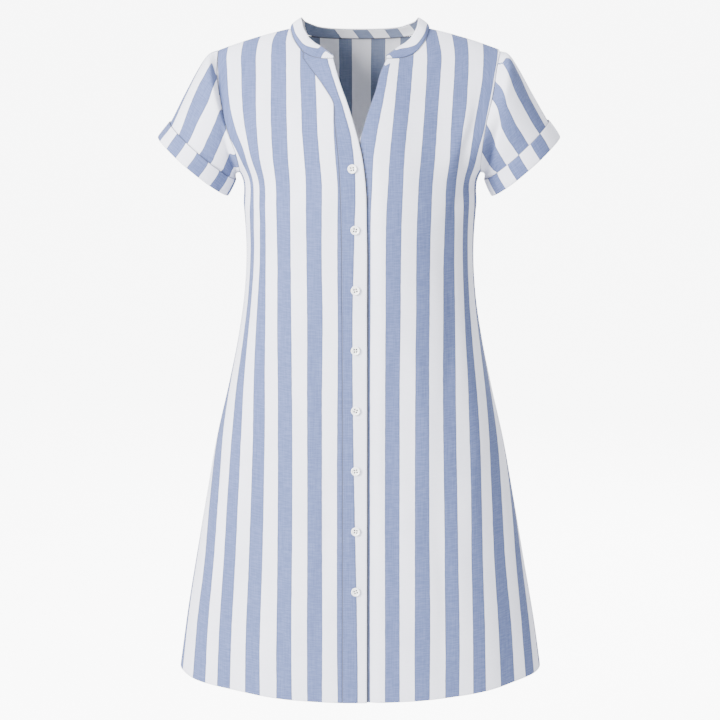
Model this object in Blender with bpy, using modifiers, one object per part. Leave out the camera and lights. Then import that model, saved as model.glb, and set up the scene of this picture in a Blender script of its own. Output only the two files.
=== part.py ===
"""Shirt dress, filled out as when worn: a hollow cloth body with a band collar, an open V,
a buttoned placket, short set-in sleeves and turned cuffs.

Metres, +Z up. The front faces -Y and +X is the wearer's left. The origin is midway between
the two high shoulder points, where the dress hangs from the shoulders.
"""

import math

import bmesh
import bpy
import numpy as np
from mathutils import Matrix, Vector

NAME = "shirt_dress"
MIDDLE = np.array((0, 0, -0.4))  # in the body's hollow
NECK = np.array((0, 0, -0.1))  # in the band's

CLOTH = 0.0015  # wall of one layer, with its hang
FOLDED = 0.0018  # wall of the placket, the cuffs and the band, two layers pressed flat
SEAM_GAP = 0.0003
LAID_GAP = 0.0005  # between the underside of a laid piece and what it lies on
MITRE_LIMIT = 0.5  # the least cosine that a seam's mitre is stretched by

SHARP_ANGLE = math.radians(35)

RIGHT, LEFT = -1, 1  # the wearer's sides, as the sign of x

NECK_HALF = 0.0875  # from the middle to a high shoulder point
UNDERARM = -0.183  # height of the armholes' lowest points
HEM_FRONT = -0.8605  # the hem's height at the middle of the front
HEM_LIFT = 0.0130  # how much shorter the side seams are
CHEST_DROP = 0.0450  # how far the first skirt row falls from the underarm to the middle
SHOULDER_BOW = 0.0020  # rise of the shoulder seam over a straight line

PLACKET_DIP = 0.0032  # how far the left front sinks to pass under the placket
DIP_START = 0.0020  # how far beyond the fold it starts to come back up
DIP_BLEND = 0.0170  # the width over which it does
DIP_STEPS = (0.0150, 0.0320, 0.0400, 0.0500)  # its columns' places from its own edge

BUTTON_COUNT = 8
BUTTON_FIRST = -0.1680
BUTTON_SPACE = 0.0742
BUTTON_EASE = 0.00046  # the spaces grow a little downwards
BUTTON_INSET = 0.0145  # from the placket's fold to a button's middle
BUTTON_RADIUS = 0.00575
BUTTON_THICK = 0.0022
BUTTON_HOLE = 0.0008
BUTTON_HOLE_RING = 0.0013  # from a button's middle to a hole's
BUTTON_STEPS = 16

SHOULDER_COLUMNS = 12
FRONT_ARMHOLE_ROWS = 14
BACK_ARMHOLE_ROWS = 12
SKIRT_ROWS = 15
STRIP_LEVEL_ROW = 6  # the placket's rows are level from this one down
STRIP_NECK_ROWS = 2  # over these many the placket's rows lose the neckline's curve
BAND_ROWS = 2


def table(names, *rows):
    """A short table as named columns."""
    return dict(zip(names.split(), np.array(rows, float).T))


# Level sections of the body. Above the underarm the width runs on into the arm.
BODY = table(
    "z half_width front back front_square back_square",
    (0.000, 0.2320, 0.1200, 0.1060, 2.3, 2.3),
    (-0.060, 0.2310, 0.1200, 0.1070, 2.3, 2.3),
    (-0.110, 0.2190, 0.1200, 0.1080, 2.3, 2.3),
    (-0.150, 0.1890, 0.1200, 0.1080, 2.3, 2.3),
    (-0.183, 0.1548, 0.1205, 0.1060, 2.3, 2.3),
    (-0.225, 0.1500, 0.1215, 0.1030, 2.3, 2.3),
    (-0.280, 0.1468, 0.1215, 0.0970, 2.3, 2.3),
    (-0.340, 0.1500, 0.1200, 0.0930, 2.4, 2.3),
    (-0.400, 0.1590, 0.1180, 0.0940, 2.4, 2.3),
    (-0.460, 0.1717, 0.1170, 0.1000, 2.4, 2.2),
    (-0.530, 0.1883, 0.1165, 0.1070, 2.3, 2.2),
    (-0.610, 0.2030, 0.1160, 0.1120, 2.2, 2.2),
    (-0.700, 0.2185, 0.1160, 0.1160, 2.1, 2.1),
    (-0.780, 0.2322, 0.1160, 0.1190, 2.0, 2.1),
    (-0.862, 0.2447, 0.1165, 0.1220, 2.0, 2.0),
)

# Half a button's section, as shares of its radius and its thickness: a rim round a dish.
BUTTON_SECTION = table(
    "radius height",
    (0.00, 0.72),
    (0.61, 0.72),
    (0.74, 1.00),
    (1.00, 0.60),
    (0.86, 0.00),
    (0.00, 0.00),
)

# How roundly the cloth comes over the shoulder, from the middle outwards.
CROWN = table(
    "x front back",
    (0.000, 1.90, 2.60),
    (0.030, 1.90, 2.55),
    (0.060, 1.72, 2.35),
    (0.090, 1.60, 1.95),
    (0.200, 1.60, 1.80),
)
CROWN_FOOT = {"front": -0.240, "back": -0.170}  # height at which the full depth is reached

# The armhole seams, from the shoulder tip to the underarm.
ARMHOLES = {
    RIGHT: table(
        "x z",
        (0.1803, -0.0277),
        (0.1800, -0.0580),
        (0.1742, -0.0955),
        (0.1674, -0.1241),
        (0.1575, -0.1536),
        (0.1540, -0.1720),
        (0.1548, UNDERARM),
    ),
    LEFT: table(
        "x z",
        (0.1785, -0.0290),
        (0.1725, -0.0500),
        (0.1665, -0.0833),
        (0.1595, -0.1128),
        (0.1540, -0.1447),
        (0.1530, -0.1690),
        (0.1548, UNDERARM),
    ),
}

# The collar band's stations, from each front end round to the middle of the back.
# The seam is the neckline; inward and up lead from it to the band's top edge.
BAND = table(
    "seam_x seam_z inward up",
    (0.0335, -0.0350, 0.0060, 0.0035),
    (0.0425, -0.0352, 0.0105, 0.0085),
    (0.0530, -0.0345, 0.0140, 0.0130),
    (0.0645, -0.0315, 0.0145, 0.0155),
    (0.0725, -0.0265, 0.0140, 0.0150),
    (0.0780, -0.0205, 0.0135, 0.0145),
    (0.0835, -0.0120, 0.0130, 0.0140),
    (0.0862, -0.0045, 0.0130, 0.0138),
    (NECK_HALF, 0.0000, 0.0130, 0.0138),
    (0.0820, -0.0052, 0.0135, 0.0138),
    (0.0640, -0.0115, 0.0140, 0.0135),
    (0.0420, -0.0140, 0.0140, 0.0130),
    (0.0210, -0.0148, 0.0140, 0.0128),
    (0.0000, -0.0150, 0.0140, 0.0128),
)
BAND_SHOULDER = 8  # the station at the high shoulder point
BAND_PLACKET = 4  # the station where the placket's seam meets the band

# The placket on the right front: its seam line and its folded edge, and the left front's edge.
STRIP = table(
    "z seam fold",
    (-0.0350, -0.0710, -0.0335),
    (-0.0510, -0.0585, -0.0290),
    (-0.0700, -0.0440, -0.0225),
    (-0.0876, -0.0332, -0.0158),
    (-0.1110, -0.0312, -0.0080),
    (-0.1367, -0.0285, -0.0010),
    (-0.1543, -0.0266, 0.0028),
    (-0.1830, -0.0250, 0.0066),
    (-0.2430, -0.0232, 0.0085),
    (-0.3500, -0.0225, 0.0088),
    (-0.8700, -0.0228, 0.0090),
)
LEFT_EDGE = table(
    "z x",
    (-0.0350, 0.0335),
    (-0.0500, 0.0262),
    (-0.0744, 0.0190),
    (-0.0951, 0.0113),
    (-0.1230, 0.0025),
    (-0.1430, -0.0038),
    (-0.1830, -0.0165),
    (-0.2150, -0.0205),
    (-0.2600, -0.0210),
    (-0.8700, -0.0210),
)

# The sleeves' sections after the armhole, each an ellipse on the line from top to low point.
CUFF_TOP = 4  # the section at which the cuff starts; the last one is the hem
SLEEVES = {
    RIGHT: table(
        "top_x top_z low_x low_z half_depth",
        (0.1932, -0.0335, 0.1584, -0.1840, 0.0625),
        (0.2060, -0.0512, 0.1600, -0.1856, 0.0630),
        (0.2238, -0.0832, 0.1606, -0.1880, 0.0610),
        (0.2428, -0.1190, 0.1612, -0.1912, 0.0570),
        (0.2582, -0.1382, 0.1716, -0.2125, 0.0550),
    ),
    LEFT: table(
        "top_x top_z low_x low_z half_depth",
        (0.1895, -0.0330, 0.1584, -0.1840, 0.0625),
        (0.2020, -0.0505, 0.1600, -0.1856, 0.0630),
        (0.2205, -0.0832, 0.1606, -0.1880, 0.0610),
        (0.2408, -0.1170, 0.1612, -0.1912, 0.0570),
        (0.2560, -0.1378, 0.1708, -0.2130, 0.0550),
    ),
}
SLEEVE_SECTIONS = (0.0, 0.5, 1.0, 1.5, 2.0, 3.0, 4.0, 5.0)

# Soft flutes of the skirt: where round the body, from 0 at the middle of the front to 180 at
# the middle of the back, how proud at the hem, how wide, and the height at which they start.
FLUTES = table(
    "side degrees proud spread start",
    (RIGHT, 24, 0.0022, 9, -0.42),
    (RIGHT, 43, -0.0028, 9, -0.38),
    (RIGHT, 62, 0.0030, 10, -0.40),
    (LEFT, 20, 0.0018, 8, -0.45),
    (LEFT, 40, 0.0030, 10, -0.36),
    (LEFT, 60, -0.0026, 9, -0.42),
    (RIGHT, 112, 0.0040, 11, -0.40),
    (RIGHT, 133, -0.0040, 11, -0.34),
    (RIGHT, 156, 0.0036, 12, -0.42),
    (LEFT, 115, -0.0034, 11, -0.44),
    (LEFT, 138, 0.0044, 12, -0.36),
    (LEFT, 162, -0.0036, 11, -0.40),
)


def smooth(xs, ys, at):
    """A cubic through a table's points, whose slope at each is that of its neighbours."""
    order = np.argsort(xs)
    xs, ys = np.asarray(xs)[order], np.asarray(ys)[order]
    slopes = np.gradient(ys, xs)
    at = np.clip(at, xs[0], xs[-1])
    i = np.clip(np.searchsorted(xs, at) - 1, 0, len(xs) - 2)
    span = xs[i + 1] - xs[i]
    t = (at - xs[i]) / span
    start = (1 + 2 * t) * (1 - t) ** 2 * ys[i] + t * (1 - t) ** 2 * span * slopes[i]
    end = t * t * (3 - 2 * t) * ys[i + 1] + t * t * (t - 1) * span * slopes[i + 1]
    return start + end


def spaced(points, count):
    """That many intervals of even length along a fine line of points."""
    steps = np.linalg.norm(np.diff(points, axis=0), axis=1)
    length = np.concatenate([[0], np.cumsum(steps)])
    at = np.linspace(0, length[-1], count + 1)
    return np.stack([np.interp(at, length, points[:, k]) for k in range(points.shape[1])], axis=1)


def fine(line, count=200):
    """A table's x and z as a fine line, cubic in the table's own order."""
    order = np.arange(len(line["x"]))
    at = np.linspace(0, order[-1], count)
    return np.stack([smooth(order, line["x"], at), smooth(order, line["z"], at)], axis=1)


def ease(t):
    """From 0 to 1 with no corner at either end."""
    t = np.clip(t, 0, 1)
    return t * t * (3 - 2 * t)


# ---- the body's surface -------------------------------------------------------------------


def shoulder_tip(side):
    return ARMHOLES[side]["x"][0], ARMHOLES[side]["z"][0]


def ridge(x):
    """Height of the shoulder seam at x, level across the neck and straight past the tip."""
    x = np.abs(x)
    tip_x, tip_z = shoulder_tip(RIGHT)
    along = np.maximum(x - NECK_HALF, 0) / (tip_x - NECK_HALF)
    return tip_z * along + 4 * SHOULDER_BOW * np.clip(along * (1 - along), 0, None)


def section(face, x, z):
    """Depth of the level section at height z, out to x."""
    square = smooth(BODY["z"], BODY[f"{face}_square"], z)
    share = np.abs(x) / smooth(BODY["z"], BODY["half_width"], z)
    return smooth(BODY["z"], BODY[face], z) * np.clip(1 - share**square, 0, None) ** (1 / square)


def crowned(face, x, z):
    """Share of the full depth at x and z, 0 on the shoulder seam and 1 below the chest."""
    top = ridge(x)
    crown = smooth(CROWN["x"], CROWN[face], np.abs(x))
    share = np.clip((top - z) / (top - CROWN_FOOT[face]), 0, 1)
    return (1 - (1 - share) ** crown) ** (1 / crown)


def depth(face, x, z):
    """How far the front or back stands from the plane of the side seams at x and z."""
    return section(face, x, z) * crowned(face, x, z)


def placed(face, flat):
    """Points on the front or back from their x and z."""
    x, z = flat[..., 0], flat[..., 1]
    y = depth(face, x, z) * (-1 if face == "front" else 1)
    return np.stack([x, y, z], axis=-1)


def fluted(points):
    """The skirt's points with its soft flutes, which grow from their start down to the hem."""
    x, y, z = points[..., 0], points[..., 1], points[..., 2]
    half = smooth(BODY["z"], BODY["half_width"], z)
    deep = smooth(BODY["z"], BODY["front"], z)
    around = np.degrees(np.arctan2(np.abs(x) / half, -y / deep))
    proud = np.zeros_like(x)
    for side, degrees, height, spread, start in zip(*FLUTES.values()):
        bump = height * np.exp(-(((around - degrees) / spread) ** 2))
        growth = ease((start - z) / (start - HEM_FRONT))
        proud += np.where(x * side > 0, bump * growth, 0)
    scale = 1 + proud / np.hypot(x, y)
    return np.stack([x * scale, y * scale, z], axis=-1)


def coons(top, bottom, inner, outer):
    """The x and z of a panel's upper part, blended from its four edges."""
    u = np.linspace(0, 1, len(top))[None, :, None]
    v = np.linspace(0, 1, len(inner))[:, None, None]
    across = (1 - u) * inner[:, None] + u * outer[:, None]
    down = (1 - v) * top[None] + v * bottom[None]
    ends = (1 - v) * ((1 - u) * top[0] + u * top[-1]) + v * ((1 - u) * bottom[0] + u * bottom[-1])
    return across + down - ends


def armhole(side, face, rows):
    """The armhole's x and z, in rows of even length as they lie on the front or back."""
    line = fine(ARMHOLES[side]) * (side, 1)
    return spaced(placed(face, line), rows)[:, (0, 2)]


def shoulder(side):
    """The shoulder seam's x and z, from the neck to the tip."""
    x = np.linspace(NECK_HALF, shoulder_tip(side)[0], SHOULDER_COLUMNS + 1)
    z = ridge(x)
    z[-1] = shoulder_tip(side)[1]
    return np.stack([x * side, z], axis=1)


def around_body(face, side, edge, columns, shares, steps=()):
    """Skirt rows from the line x = edge(z) out to the side seam. The first columns stand at
    steps from the edge, and the rest are evenly turned about the axis."""
    steps = (0, *steps)
    turned = columns - len(steps)
    angle = np.repeat(np.linspace(0, math.pi / 2, columns)[None], len(shares), axis=0)
    for _ in range(3):
        hem = HEM_FRONT + HEM_LIFT * np.sin(angle) ** 2
        chest = UNDERARM - CHEST_DROP * np.cos(angle)
        z = chest + shares[:, None] * (hem - chest)
        half = smooth(BODY["z"], BODY["half_width"], z)
        square = smooth(BODY["z"], BODY[f"{face}_square"], z)
        for k in range(columns):
            share = (side * edge(z[:, k]) + steps[min(k, len(steps) - 1)]) / half[:, k]
            here = np.sign(share) * np.arcsin(np.abs(share) ** (square[:, k] / 2))
            angle[:, k] = here + (math.pi / 2 - here) * max(k + 1 - len(steps), 0) / turned
    x = half * np.sign(angle) * np.abs(np.sin(angle)) ** (2 / square)
    x[:, -1] = half[:, -1]
    y = smooth(BODY["z"], BODY[face], z) * np.abs(np.cos(angle)) ** (2 / square)
    y *= crowned(face, x, z)
    y[:, -1] = 0
    return np.stack([x * side, y * (-1 if face == "front" else 1), z], axis=-1)


SKIRT_SHARES = np.linspace(0, 1, SKIRT_ROWS + 1)


def front_panel(side, neck_line, edge_table, edge_column, steps=()):
    """One front: its upper part between neckline, edge and armhole, and its skirt."""

    def edge(z):
        return smooth(edge_table["z"], edge_table[edge_column], z)

    skirt = around_body("front", side, edge, SHOULDER_COLUMNS + 1, SKIRT_SHARES, steps)
    down = np.linspace(neck_line[-1, 1], skirt[0, 0, 2], 100)
    opening = np.stack([edge(down), down], axis=1)
    opening[0] = neck_line[-1]
    opening[-1] = skirt[0, 0, (0, 2)]
    rest = FRONT_ARMHOLE_ROWS - len(neck_line) + 1
    opening = spaced(placed("front", opening), rest)[:, (0, 2)]
    inner = np.concatenate([neck_line, opening[1:]])
    outer = armhole(side, "front", FRONT_ARMHOLE_ROWS)
    top = shoulder(side)
    upper = placed("front", coons(top, skirt[0][:, (0, 2)], inner, outer))
    upper[0, :, 1] = 0
    upper[-1] = skirt[0]
    return np.concatenate([upper, fluted(skirt[1:])])


def neck_rows(side, first):
    """The neckline's x and z from the high shoulder point forward to the station named first."""
    stations = slice(first, BAND_SHOULDER + 1)
    x, z = BAND["seam_x"][stations][::-1], BAND["seam_z"][stations][::-1]
    return np.stack([x * side, z], axis=1)


def sunk(points):
    """The left front, let down where it passes under the placket."""
    x, z = points[..., 0], points[..., 2]
    fold = smooth(STRIP["z"], STRIP["fold"], z)
    dip = PLACKET_DIP * ease(1 - (x - fold - DIP_START) / DIP_BLEND)
    lowered = points.copy()
    lowered[..., 1] += dip
    return lowered


def back_half(side):
    """Half of the back, its columns from the middle out to the side seam."""
    stations = slice(BAND_SHOULDER, None)
    neck = np.stack([BAND["seam_x"][stations], BAND["seam_z"][stations]], axis=1)[::-1] * (side, 1)
    top = np.concatenate([neck, shoulder(side)[1:]])
    skirt = around_body("back", side, lambda z: 0 * z, len(top), SKIRT_SHARES)
    outer = armhole(side, "back", BACK_ARMHOLE_ROWS)
    inner = np.linspace(top[0], skirt[0, 0, (0, 2)], BACK_ARMHOLE_ROWS + 1)
    upper = placed("back", coons(top, skirt[0][:, (0, 2)], inner, outer))
    upper[0, len(neck) - 1 :, 1] = 0
    upper[-1] = skirt[0]
    return np.concatenate([upper, fluted(skirt[1:])])


def strip_panel(front):
    """The placket: from the right front's edge to its own fold, row by row."""
    seam = front[BAND_SHOULDER - BAND_PLACKET :, 0]
    stations = slice(0, BAND_PLACKET + 1)
    top = np.stack([-BAND["seam_x"][stations], BAND["seam_z"][stations]], axis=1)[::-1]
    height = seam[:, 2]
    levels = np.arange(len(seam))
    lag = (top[-1, 1] - height[0]) * np.clip(1 - levels / STRIP_LEVEL_ROW, 0, 1)
    edge = np.stack([smooth(STRIP["z"], STRIP["fold"], height + lag), height + lag], axis=1)
    edge[0] = top[-1]
    across = np.linspace(0, 1, len(top))[None, :, None]
    flat = (1 - across) * seam[:, None][..., (0, 2)] + across * edge[:, None]
    straight = (1 - across[0]) * top[0] + across[0] * top[-1]
    fade = np.clip(1 - levels / STRIP_NECK_ROWS, 0, 1)[:, None, None]
    flat = flat + fade * (top - straight)[None]
    points = placed("front", flat)
    points[:, 0] = seam
    return points


# ---- sleeves and cuffs ---------------------------------------------------------------------


def sleeve_tube(side, front, back):
    """Rows from the armhole down to the hem; each row runs from the shoulder, down the front of
    the arm, under it, and up its back."""
    down, up = front[: FRONT_ARMHOLE_ROWS + 1, -1], back[BACK_ARMHOLE_ROWS - 1 :: -1, -1]
    forward = np.linspace(0, math.pi, FRONT_ARMHOLE_ROWS + 1)
    behind = np.linspace(math.pi, 2 * math.pi, BACK_ARMHOLE_ROWS + 1)[1:]
    angles = np.concatenate([forward, behind])
    rings = [np.concatenate([down, up])]
    for top_x, top_z, low_x, low_z, half_depth in zip(*SLEEVES[side].values()):
        top, low = np.array((top_x * side, 0, top_z)), np.array((low_x * side, 0, low_z))
        along = np.cos(angles)[:, None] * (top - low) / 2
        across = np.sin(angles)[:, None] * np.array((0, -half_depth, 0))
        rings.append((top + low) / 2 + along + across)
    rings = np.array(rings)
    tube = np.array([ring_at(rings, at) for at in SLEEVE_SECTIONS])
    tube[:, -1] = tube[:, 0]
    return tube


def ring_at(rings, at):
    """The ring at a place between the given ones, each column a cubic down the sleeve."""
    slopes = np.gradient(rings, axis=0)
    i = min(int(at), len(rings) - 2)
    t = at - i
    start = (1 + 2 * t) * (1 - t) ** 2 * rings[i] + t * (1 - t) ** 2 * slopes[i]
    end = t * t * (3 - 2 * t) * rings[i + 1] + t * t * (t - 1) * slopes[i + 1]
    return start + end


# ---- the collar band -----------------------------------------------------------------------


def band_panel():
    """Rows from the neckline up to the top edge, columns from the right end round to the left."""
    half = np.stack([BAND["seam_x"], BAND["seam_z"]], axis=1)
    front = placed("front", half[: BAND_SHOULDER + 1])
    back = placed("back", half[BAND_SHOULDER + 1 :])
    front[-1, 1] = 0
    seam = np.concatenate([front, back])
    tangent = np.gradient(seam[:, :2], axis=0)
    tangent[-1] = (-1, 0)
    inward = np.stack([-tangent[:, 1], tangent[:, 0]], axis=1)
    inward /= np.linalg.norm(inward, axis=1)[:, None]
    rise = np.concatenate([inward * BAND["inward"][:, None], BAND["up"][:, None]], axis=1)
    share = np.linspace(0, 1, BAND_ROWS + 1)[:, None, None]
    left = seam[None] + share * rise[None]
    right = left * (-1, 1, 1)
    return np.concatenate([right, left[:, -2::-1]], axis=1)


# ---- walls ---------------------------------------------------------------------------------


def grid_normals(points, closed):
    """Unit normals of a grid from the slopes of its rows and columns."""
    if closed:
        ring = np.concatenate([points[:, -2:-1], points, points[:, 1:2]], axis=1)
        across = (ring[:, 2:] - ring[:, :-2]) / 2
    else:
        across = np.gradient(points, axis=1)
    normals = np.cross(across, np.gradient(points, axis=0))
    return normals / np.linalg.norm(normals, axis=-1, keepdims=True)


def facing_out(points, normals, centre):
    """The normals turned so that they point away from the piece's hollow."""
    out = np.sum(normals * (points - centre), axis=-1).sum()
    return normals if out > 0 else -normals


def share_normals(panels):
    """Where panels meet at a seam they take one inward step, so their walls mitre."""
    total, least = {}, {}
    for panel in panels.values():
        for key, normal in zip(keys(panel["points"]), panel["normals"].reshape(-1, 3)):
            total[key] = total.get(key, 0) + normal
    for key, normal in total.items():
        total[key] = normal / np.linalg.norm(normal)
    for panel in panels.values():
        for key, normal in zip(keys(panel["points"]), panel["normals"].reshape(-1, 3)):
            least[key] = max(MITRE_LIMIT, min(least.get(key, 1), total[key] @ normal))
    for panel in panels.values():
        steps = [-total[key] / least[key] for key in keys(panel["points"])]
        panel["inwards"] = np.array(steps).reshape(panel["points"].shape)


def keys(points):
    return [tuple(key) for key in np.round(points.reshape(-1, 3) * 1e6).astype(int)]


def drawn_in(points, closed, edges):
    """The grid with its named edges drawn in by half a seam's gap."""
    drawn = points.copy()
    steps = {"top": (0, 1), "bottom": (-1, -2), "first": (0, 1), "last": (-1, -2)}
    for name in edges:
        edge, beside = steps[name]
        rows = name in ("top", "bottom")
        here = points[edge] if rows else points[:, edge]
        inside = points[beside] if rows else points[:, beside]
        step = inside - here
        move = step * (SEAM_GAP / 2 / np.linalg.norm(step, axis=-1, keepdims=True))
        if rows:
            drawn[edge] += move
        else:
            drawn[:, edge] += move
    if closed:
        drawn[:, -1] = drawn[:, 0]
    return drawn


def wall(name, outer, inner, closed, material):
    """A closed solid between two like grids: a grid laid on the outer points, extruded inwards."""
    rows, columns = outer.shape[:2]
    bm = bmesh.new()
    bmesh.ops.create_grid(bm, x_segments=columns - 1, y_segments=rows - 1, size=1)
    place = bm.verts.layers.int.new("place")
    for index, (vert, point) in enumerate(zip(bm.verts, outer.reshape(-1, 3))):
        vert.co = point
        vert[place] = index
    raised = bmesh.ops.extrude_face_region(bm, geom=bm.faces[:], use_keep_orig=True)["geom"]
    inside = inner.reshape(-1, 3)
    for item in raised:
        if isinstance(item, bmesh.types.BMVert):
            item.co = inside[item[place]]
    if closed:
        join_ring(bm, place, columns)
    bmesh.ops.recalc_face_normals(bm, faces=bm.faces)
    mesh = bpy.data.meshes.new(name)
    bm.to_mesh(mesh)
    bm.free()
    mesh.shade_smooth()
    mesh.set_sharp_from_angle(angle=SHARP_ANGLE)
    return add_object(name, mesh, material)


def join_ring(bm, place, columns):
    """Joins a tube's last column to its first and drops the two walls between them."""
    ends = (0, columns - 1)
    between = [face for face in bm.faces if len({vert[place] % columns for vert in face.verts}) == 1]
    between = [face for face in between if face.verts[0][place] % columns in ends]
    bmesh.ops.delete(bm, geom=between, context="FACES_ONLY")
    loose = [vert for vert in bm.verts if vert[place] % columns in ends]
    bmesh.ops.remove_doubles(bm, verts=loose, dist=1e-6)


# ---- objects and materials -----------------------------------------------------------------


def clear_scene():
    for item in list(bpy.data.objects):
        bpy.data.objects.remove(item, do_unlink=True)


def new_collection(name):
    collection = bpy.data.collections.new(name)
    bpy.context.scene.collection.children.link(collection)
    return collection


def new_material(name, colour, roughness):
    material = bpy.data.materials.new(name)
    material.use_nodes = True
    shader = material.node_tree.nodes["Principled BSDF"]
    shader.inputs["Base Color"].default_value = (*colour, 1)
    shader.inputs["Roughness"].default_value = roughness
    shader.inputs["Metallic"].default_value = 0
    return material


def add_object(name, mesh, material):
    item = bpy.data.objects.new(name, mesh)
    item.data.materials.append(material)
    PARTS.objects.link(item)
    return item


# ---- buttons -------------------------------------------------------------------------------


def button_blank(name):
    """Half the button's section, turned about Z."""
    across = BUTTON_SECTION["radius"] * BUTTON_RADIUS
    up = BUTTON_SECTION["height"] * BUTTON_THICK
    points = [(x, 0, z) for x, z in zip(across, up)]
    edges = [(k, k + 1) for k in range(len(points) - 1)]
    mesh = bpy.data.meshes.new(name)
    mesh.from_pydata(points, edges, [])
    item = add_object(name, mesh, BUTTON_SHELL)
    screw = item.modifiers.new("Turn", "SCREW")
    screw.steps = BUTTON_STEPS
    screw.render_steps = BUTTON_STEPS
    screw.use_merge_vertices = True
    screw.merge_threshold = 0.00005
    return item


def hole_cutter():
    """Four pegs in one mesh, through a button's middle."""
    bm = bmesh.new()
    for quarter in range(4):
        turn = math.pi / 4 + quarter * math.pi / 2
        middle = Vector((math.cos(turn), math.sin(turn), 0)) * BUTTON_HOLE_RING
        bmesh.ops.create_cone(
            bm,
            cap_ends=True,
            segments=6,
            radius1=BUTTON_HOLE,
            radius2=BUTTON_HOLE,
            depth=BUTTON_THICK * 4,
            matrix=Matrix.Translation(middle),
        )
    mesh = bpy.data.meshes.new("button_holes")
    bm.to_mesh(mesh)
    bm.free()
    cutter = bpy.data.objects.new("button_holes", mesh)
    cutter.hide_render = True
    cutter.display_type = "WIRE"
    CUTTERS.objects.link(cutter)
    return cutter


def surface_frame(x, z):
    """A turn and place for something sewn on the placket, its Z out of the cloth."""
    step = 0.004
    flat = np.array([(x, z), (x + step, z), (x, z + step)])
    here, across, up = (Vector(point) for point in placed("front", flat))
    across, up = (across - here).normalized(), (up - here).normalized()
    out = across.cross(up).normalized()
    turn = Matrix((across, out.cross(across), out)).transposed()
    return here + out * LAID_GAP, turn


def add_buttons():
    cutter = hole_cutter()
    for number in range(1, BUTTON_COUNT + 1):
        below = number - 1
        z = BUTTON_FIRST - below * BUTTON_SPACE - below**2 * BUTTON_EASE
        fold = float(smooth(STRIP["z"], STRIP["fold"], z))
        place, turn = surface_frame(fold - BUTTON_INSET, z)
        button = button_blank(f"button_{number}")
        button.matrix_world = Matrix.Translation(place) @ turn.to_4x4()
        cut = button.modifiers.new("Holes", "BOOLEAN")
        cut.object = cut_copy(cutter, button, number)


def cut_copy(cutter, button, number):
    """The pegs where one button is."""
    copy = cutter.copy()
    copy.name = f"button_holes_{number}"
    copy.matrix_world = button.matrix_world
    CUTTERS.objects.link(copy)
    return copy


# ---- the dress -----------------------------------------------------------------------------


def dress_panels():
    """Every cloth piece's outer points, with the thickness and the edges that meet a seam."""
    front_right = front_panel(RIGHT, neck_rows(RIGHT, BAND_PLACKET), STRIP, "seam")
    left = front_panel(LEFT, neck_rows(LEFT, 0), LEFT_EDGE, "x", DIP_STEPS)
    halves = back_half(RIGHT), back_half(LEFT)
    back = np.concatenate([halves[0][:, ::-1], halves[1][:, 1:]], axis=1)
    tubes = {
        RIGHT: sleeve_tube(RIGHT, front_right, halves[0]),
        LEFT: sleeve_tube(LEFT, left, halves[1]),
    }
    panels = {
        "front_right": (front_right, CLOTH, False, ("top", "first", "last"), MIDDLE),
        "front_left": (sunk(left), CLOTH, False, ("top", "first", "last"), MIDDLE),
        "back": (back, CLOTH, False, ("top", "first", "last"), MIDDLE),
        "placket": (strip_panel(front_right), FOLDED, False, ("top", "first"), MIDDLE),
        "collar_band": (band_panel(), FOLDED, False, ("top",), NECK),
        "sleeve_right": (tubes[RIGHT], CLOTH, True, ("top",), tubes[RIGHT].mean(axis=(0, 1))),
        "sleeve_left": (tubes[LEFT], CLOTH, True, ("top",), tubes[LEFT].mean(axis=(0, 1))),
    }
    names = ("points", "thickness", "closed", "edges", "centre")
    panels = {name: dict(zip(names, values)) for name, values in panels.items()}
    for panel in panels.values():
        normals = grid_normals(panel["points"], panel["closed"])
        panel["normals"] = facing_out(panel["points"], normals, panel["centre"])
    share_normals(panels)
    return panels


def add_walls(panels, materials):
    for name, panel in panels.items():
        outer = drawn_in(panel["points"], panel["closed"], panel["edges"])
        inner = outer + panel["inwards"] * panel["thickness"]
        wall(name, outer, inner, panel["closed"], materials[name])


def add_cuff(name, sleeve, material):
    """A turned-up cuff from the sleeve's own points, moved out."""
    first = SLEEVE_SECTIONS.index(CUFF_TOP)
    points, normals = sleeve["points"][first:], sleeve["normals"][first:]
    inner = points + normals * SEAM_GAP
    outer = inner + normals * FOLDED
    wall(name, outer, inner, True, material)


clear_scene()
PARTS = new_collection(NAME)
CUTTERS = new_collection("cutters")
BUTTON_SHELL = new_material("button_shell", (0.86, 0.87, 0.88), 0.32)
COLOURS = {
    "front_right": (0.62, 0.70, 0.84),
    "front_left": (0.66, 0.73, 0.85),
    "back": (0.58, 0.66, 0.81),
    "placket": (0.55, 0.64, 0.82),
    "collar_band": (0.70, 0.75, 0.85),
    "sleeve_right": (0.64, 0.71, 0.84),
    "sleeve_left": (0.60, 0.68, 0.82),
    "cuff_right": (0.52, 0.61, 0.79),
    "cuff_left": (0.50, 0.59, 0.78),
}
MATERIALS = {name: new_material(name, colour, 0.85) for name, colour in COLOURS.items()}
PANELS = dress_panels()
add_walls(PANELS, MATERIALS)
add_cuff("cuff_right", PANELS["sleeve_right"], MATERIALS["cuff_right"])
add_cuff("cuff_left", PANELS["sleeve_left"], MATERIALS["cuff_left"])
add_buttons()
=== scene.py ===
# Shirt dress: the finished cloth, sewing and buttons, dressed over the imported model.
import math

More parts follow.
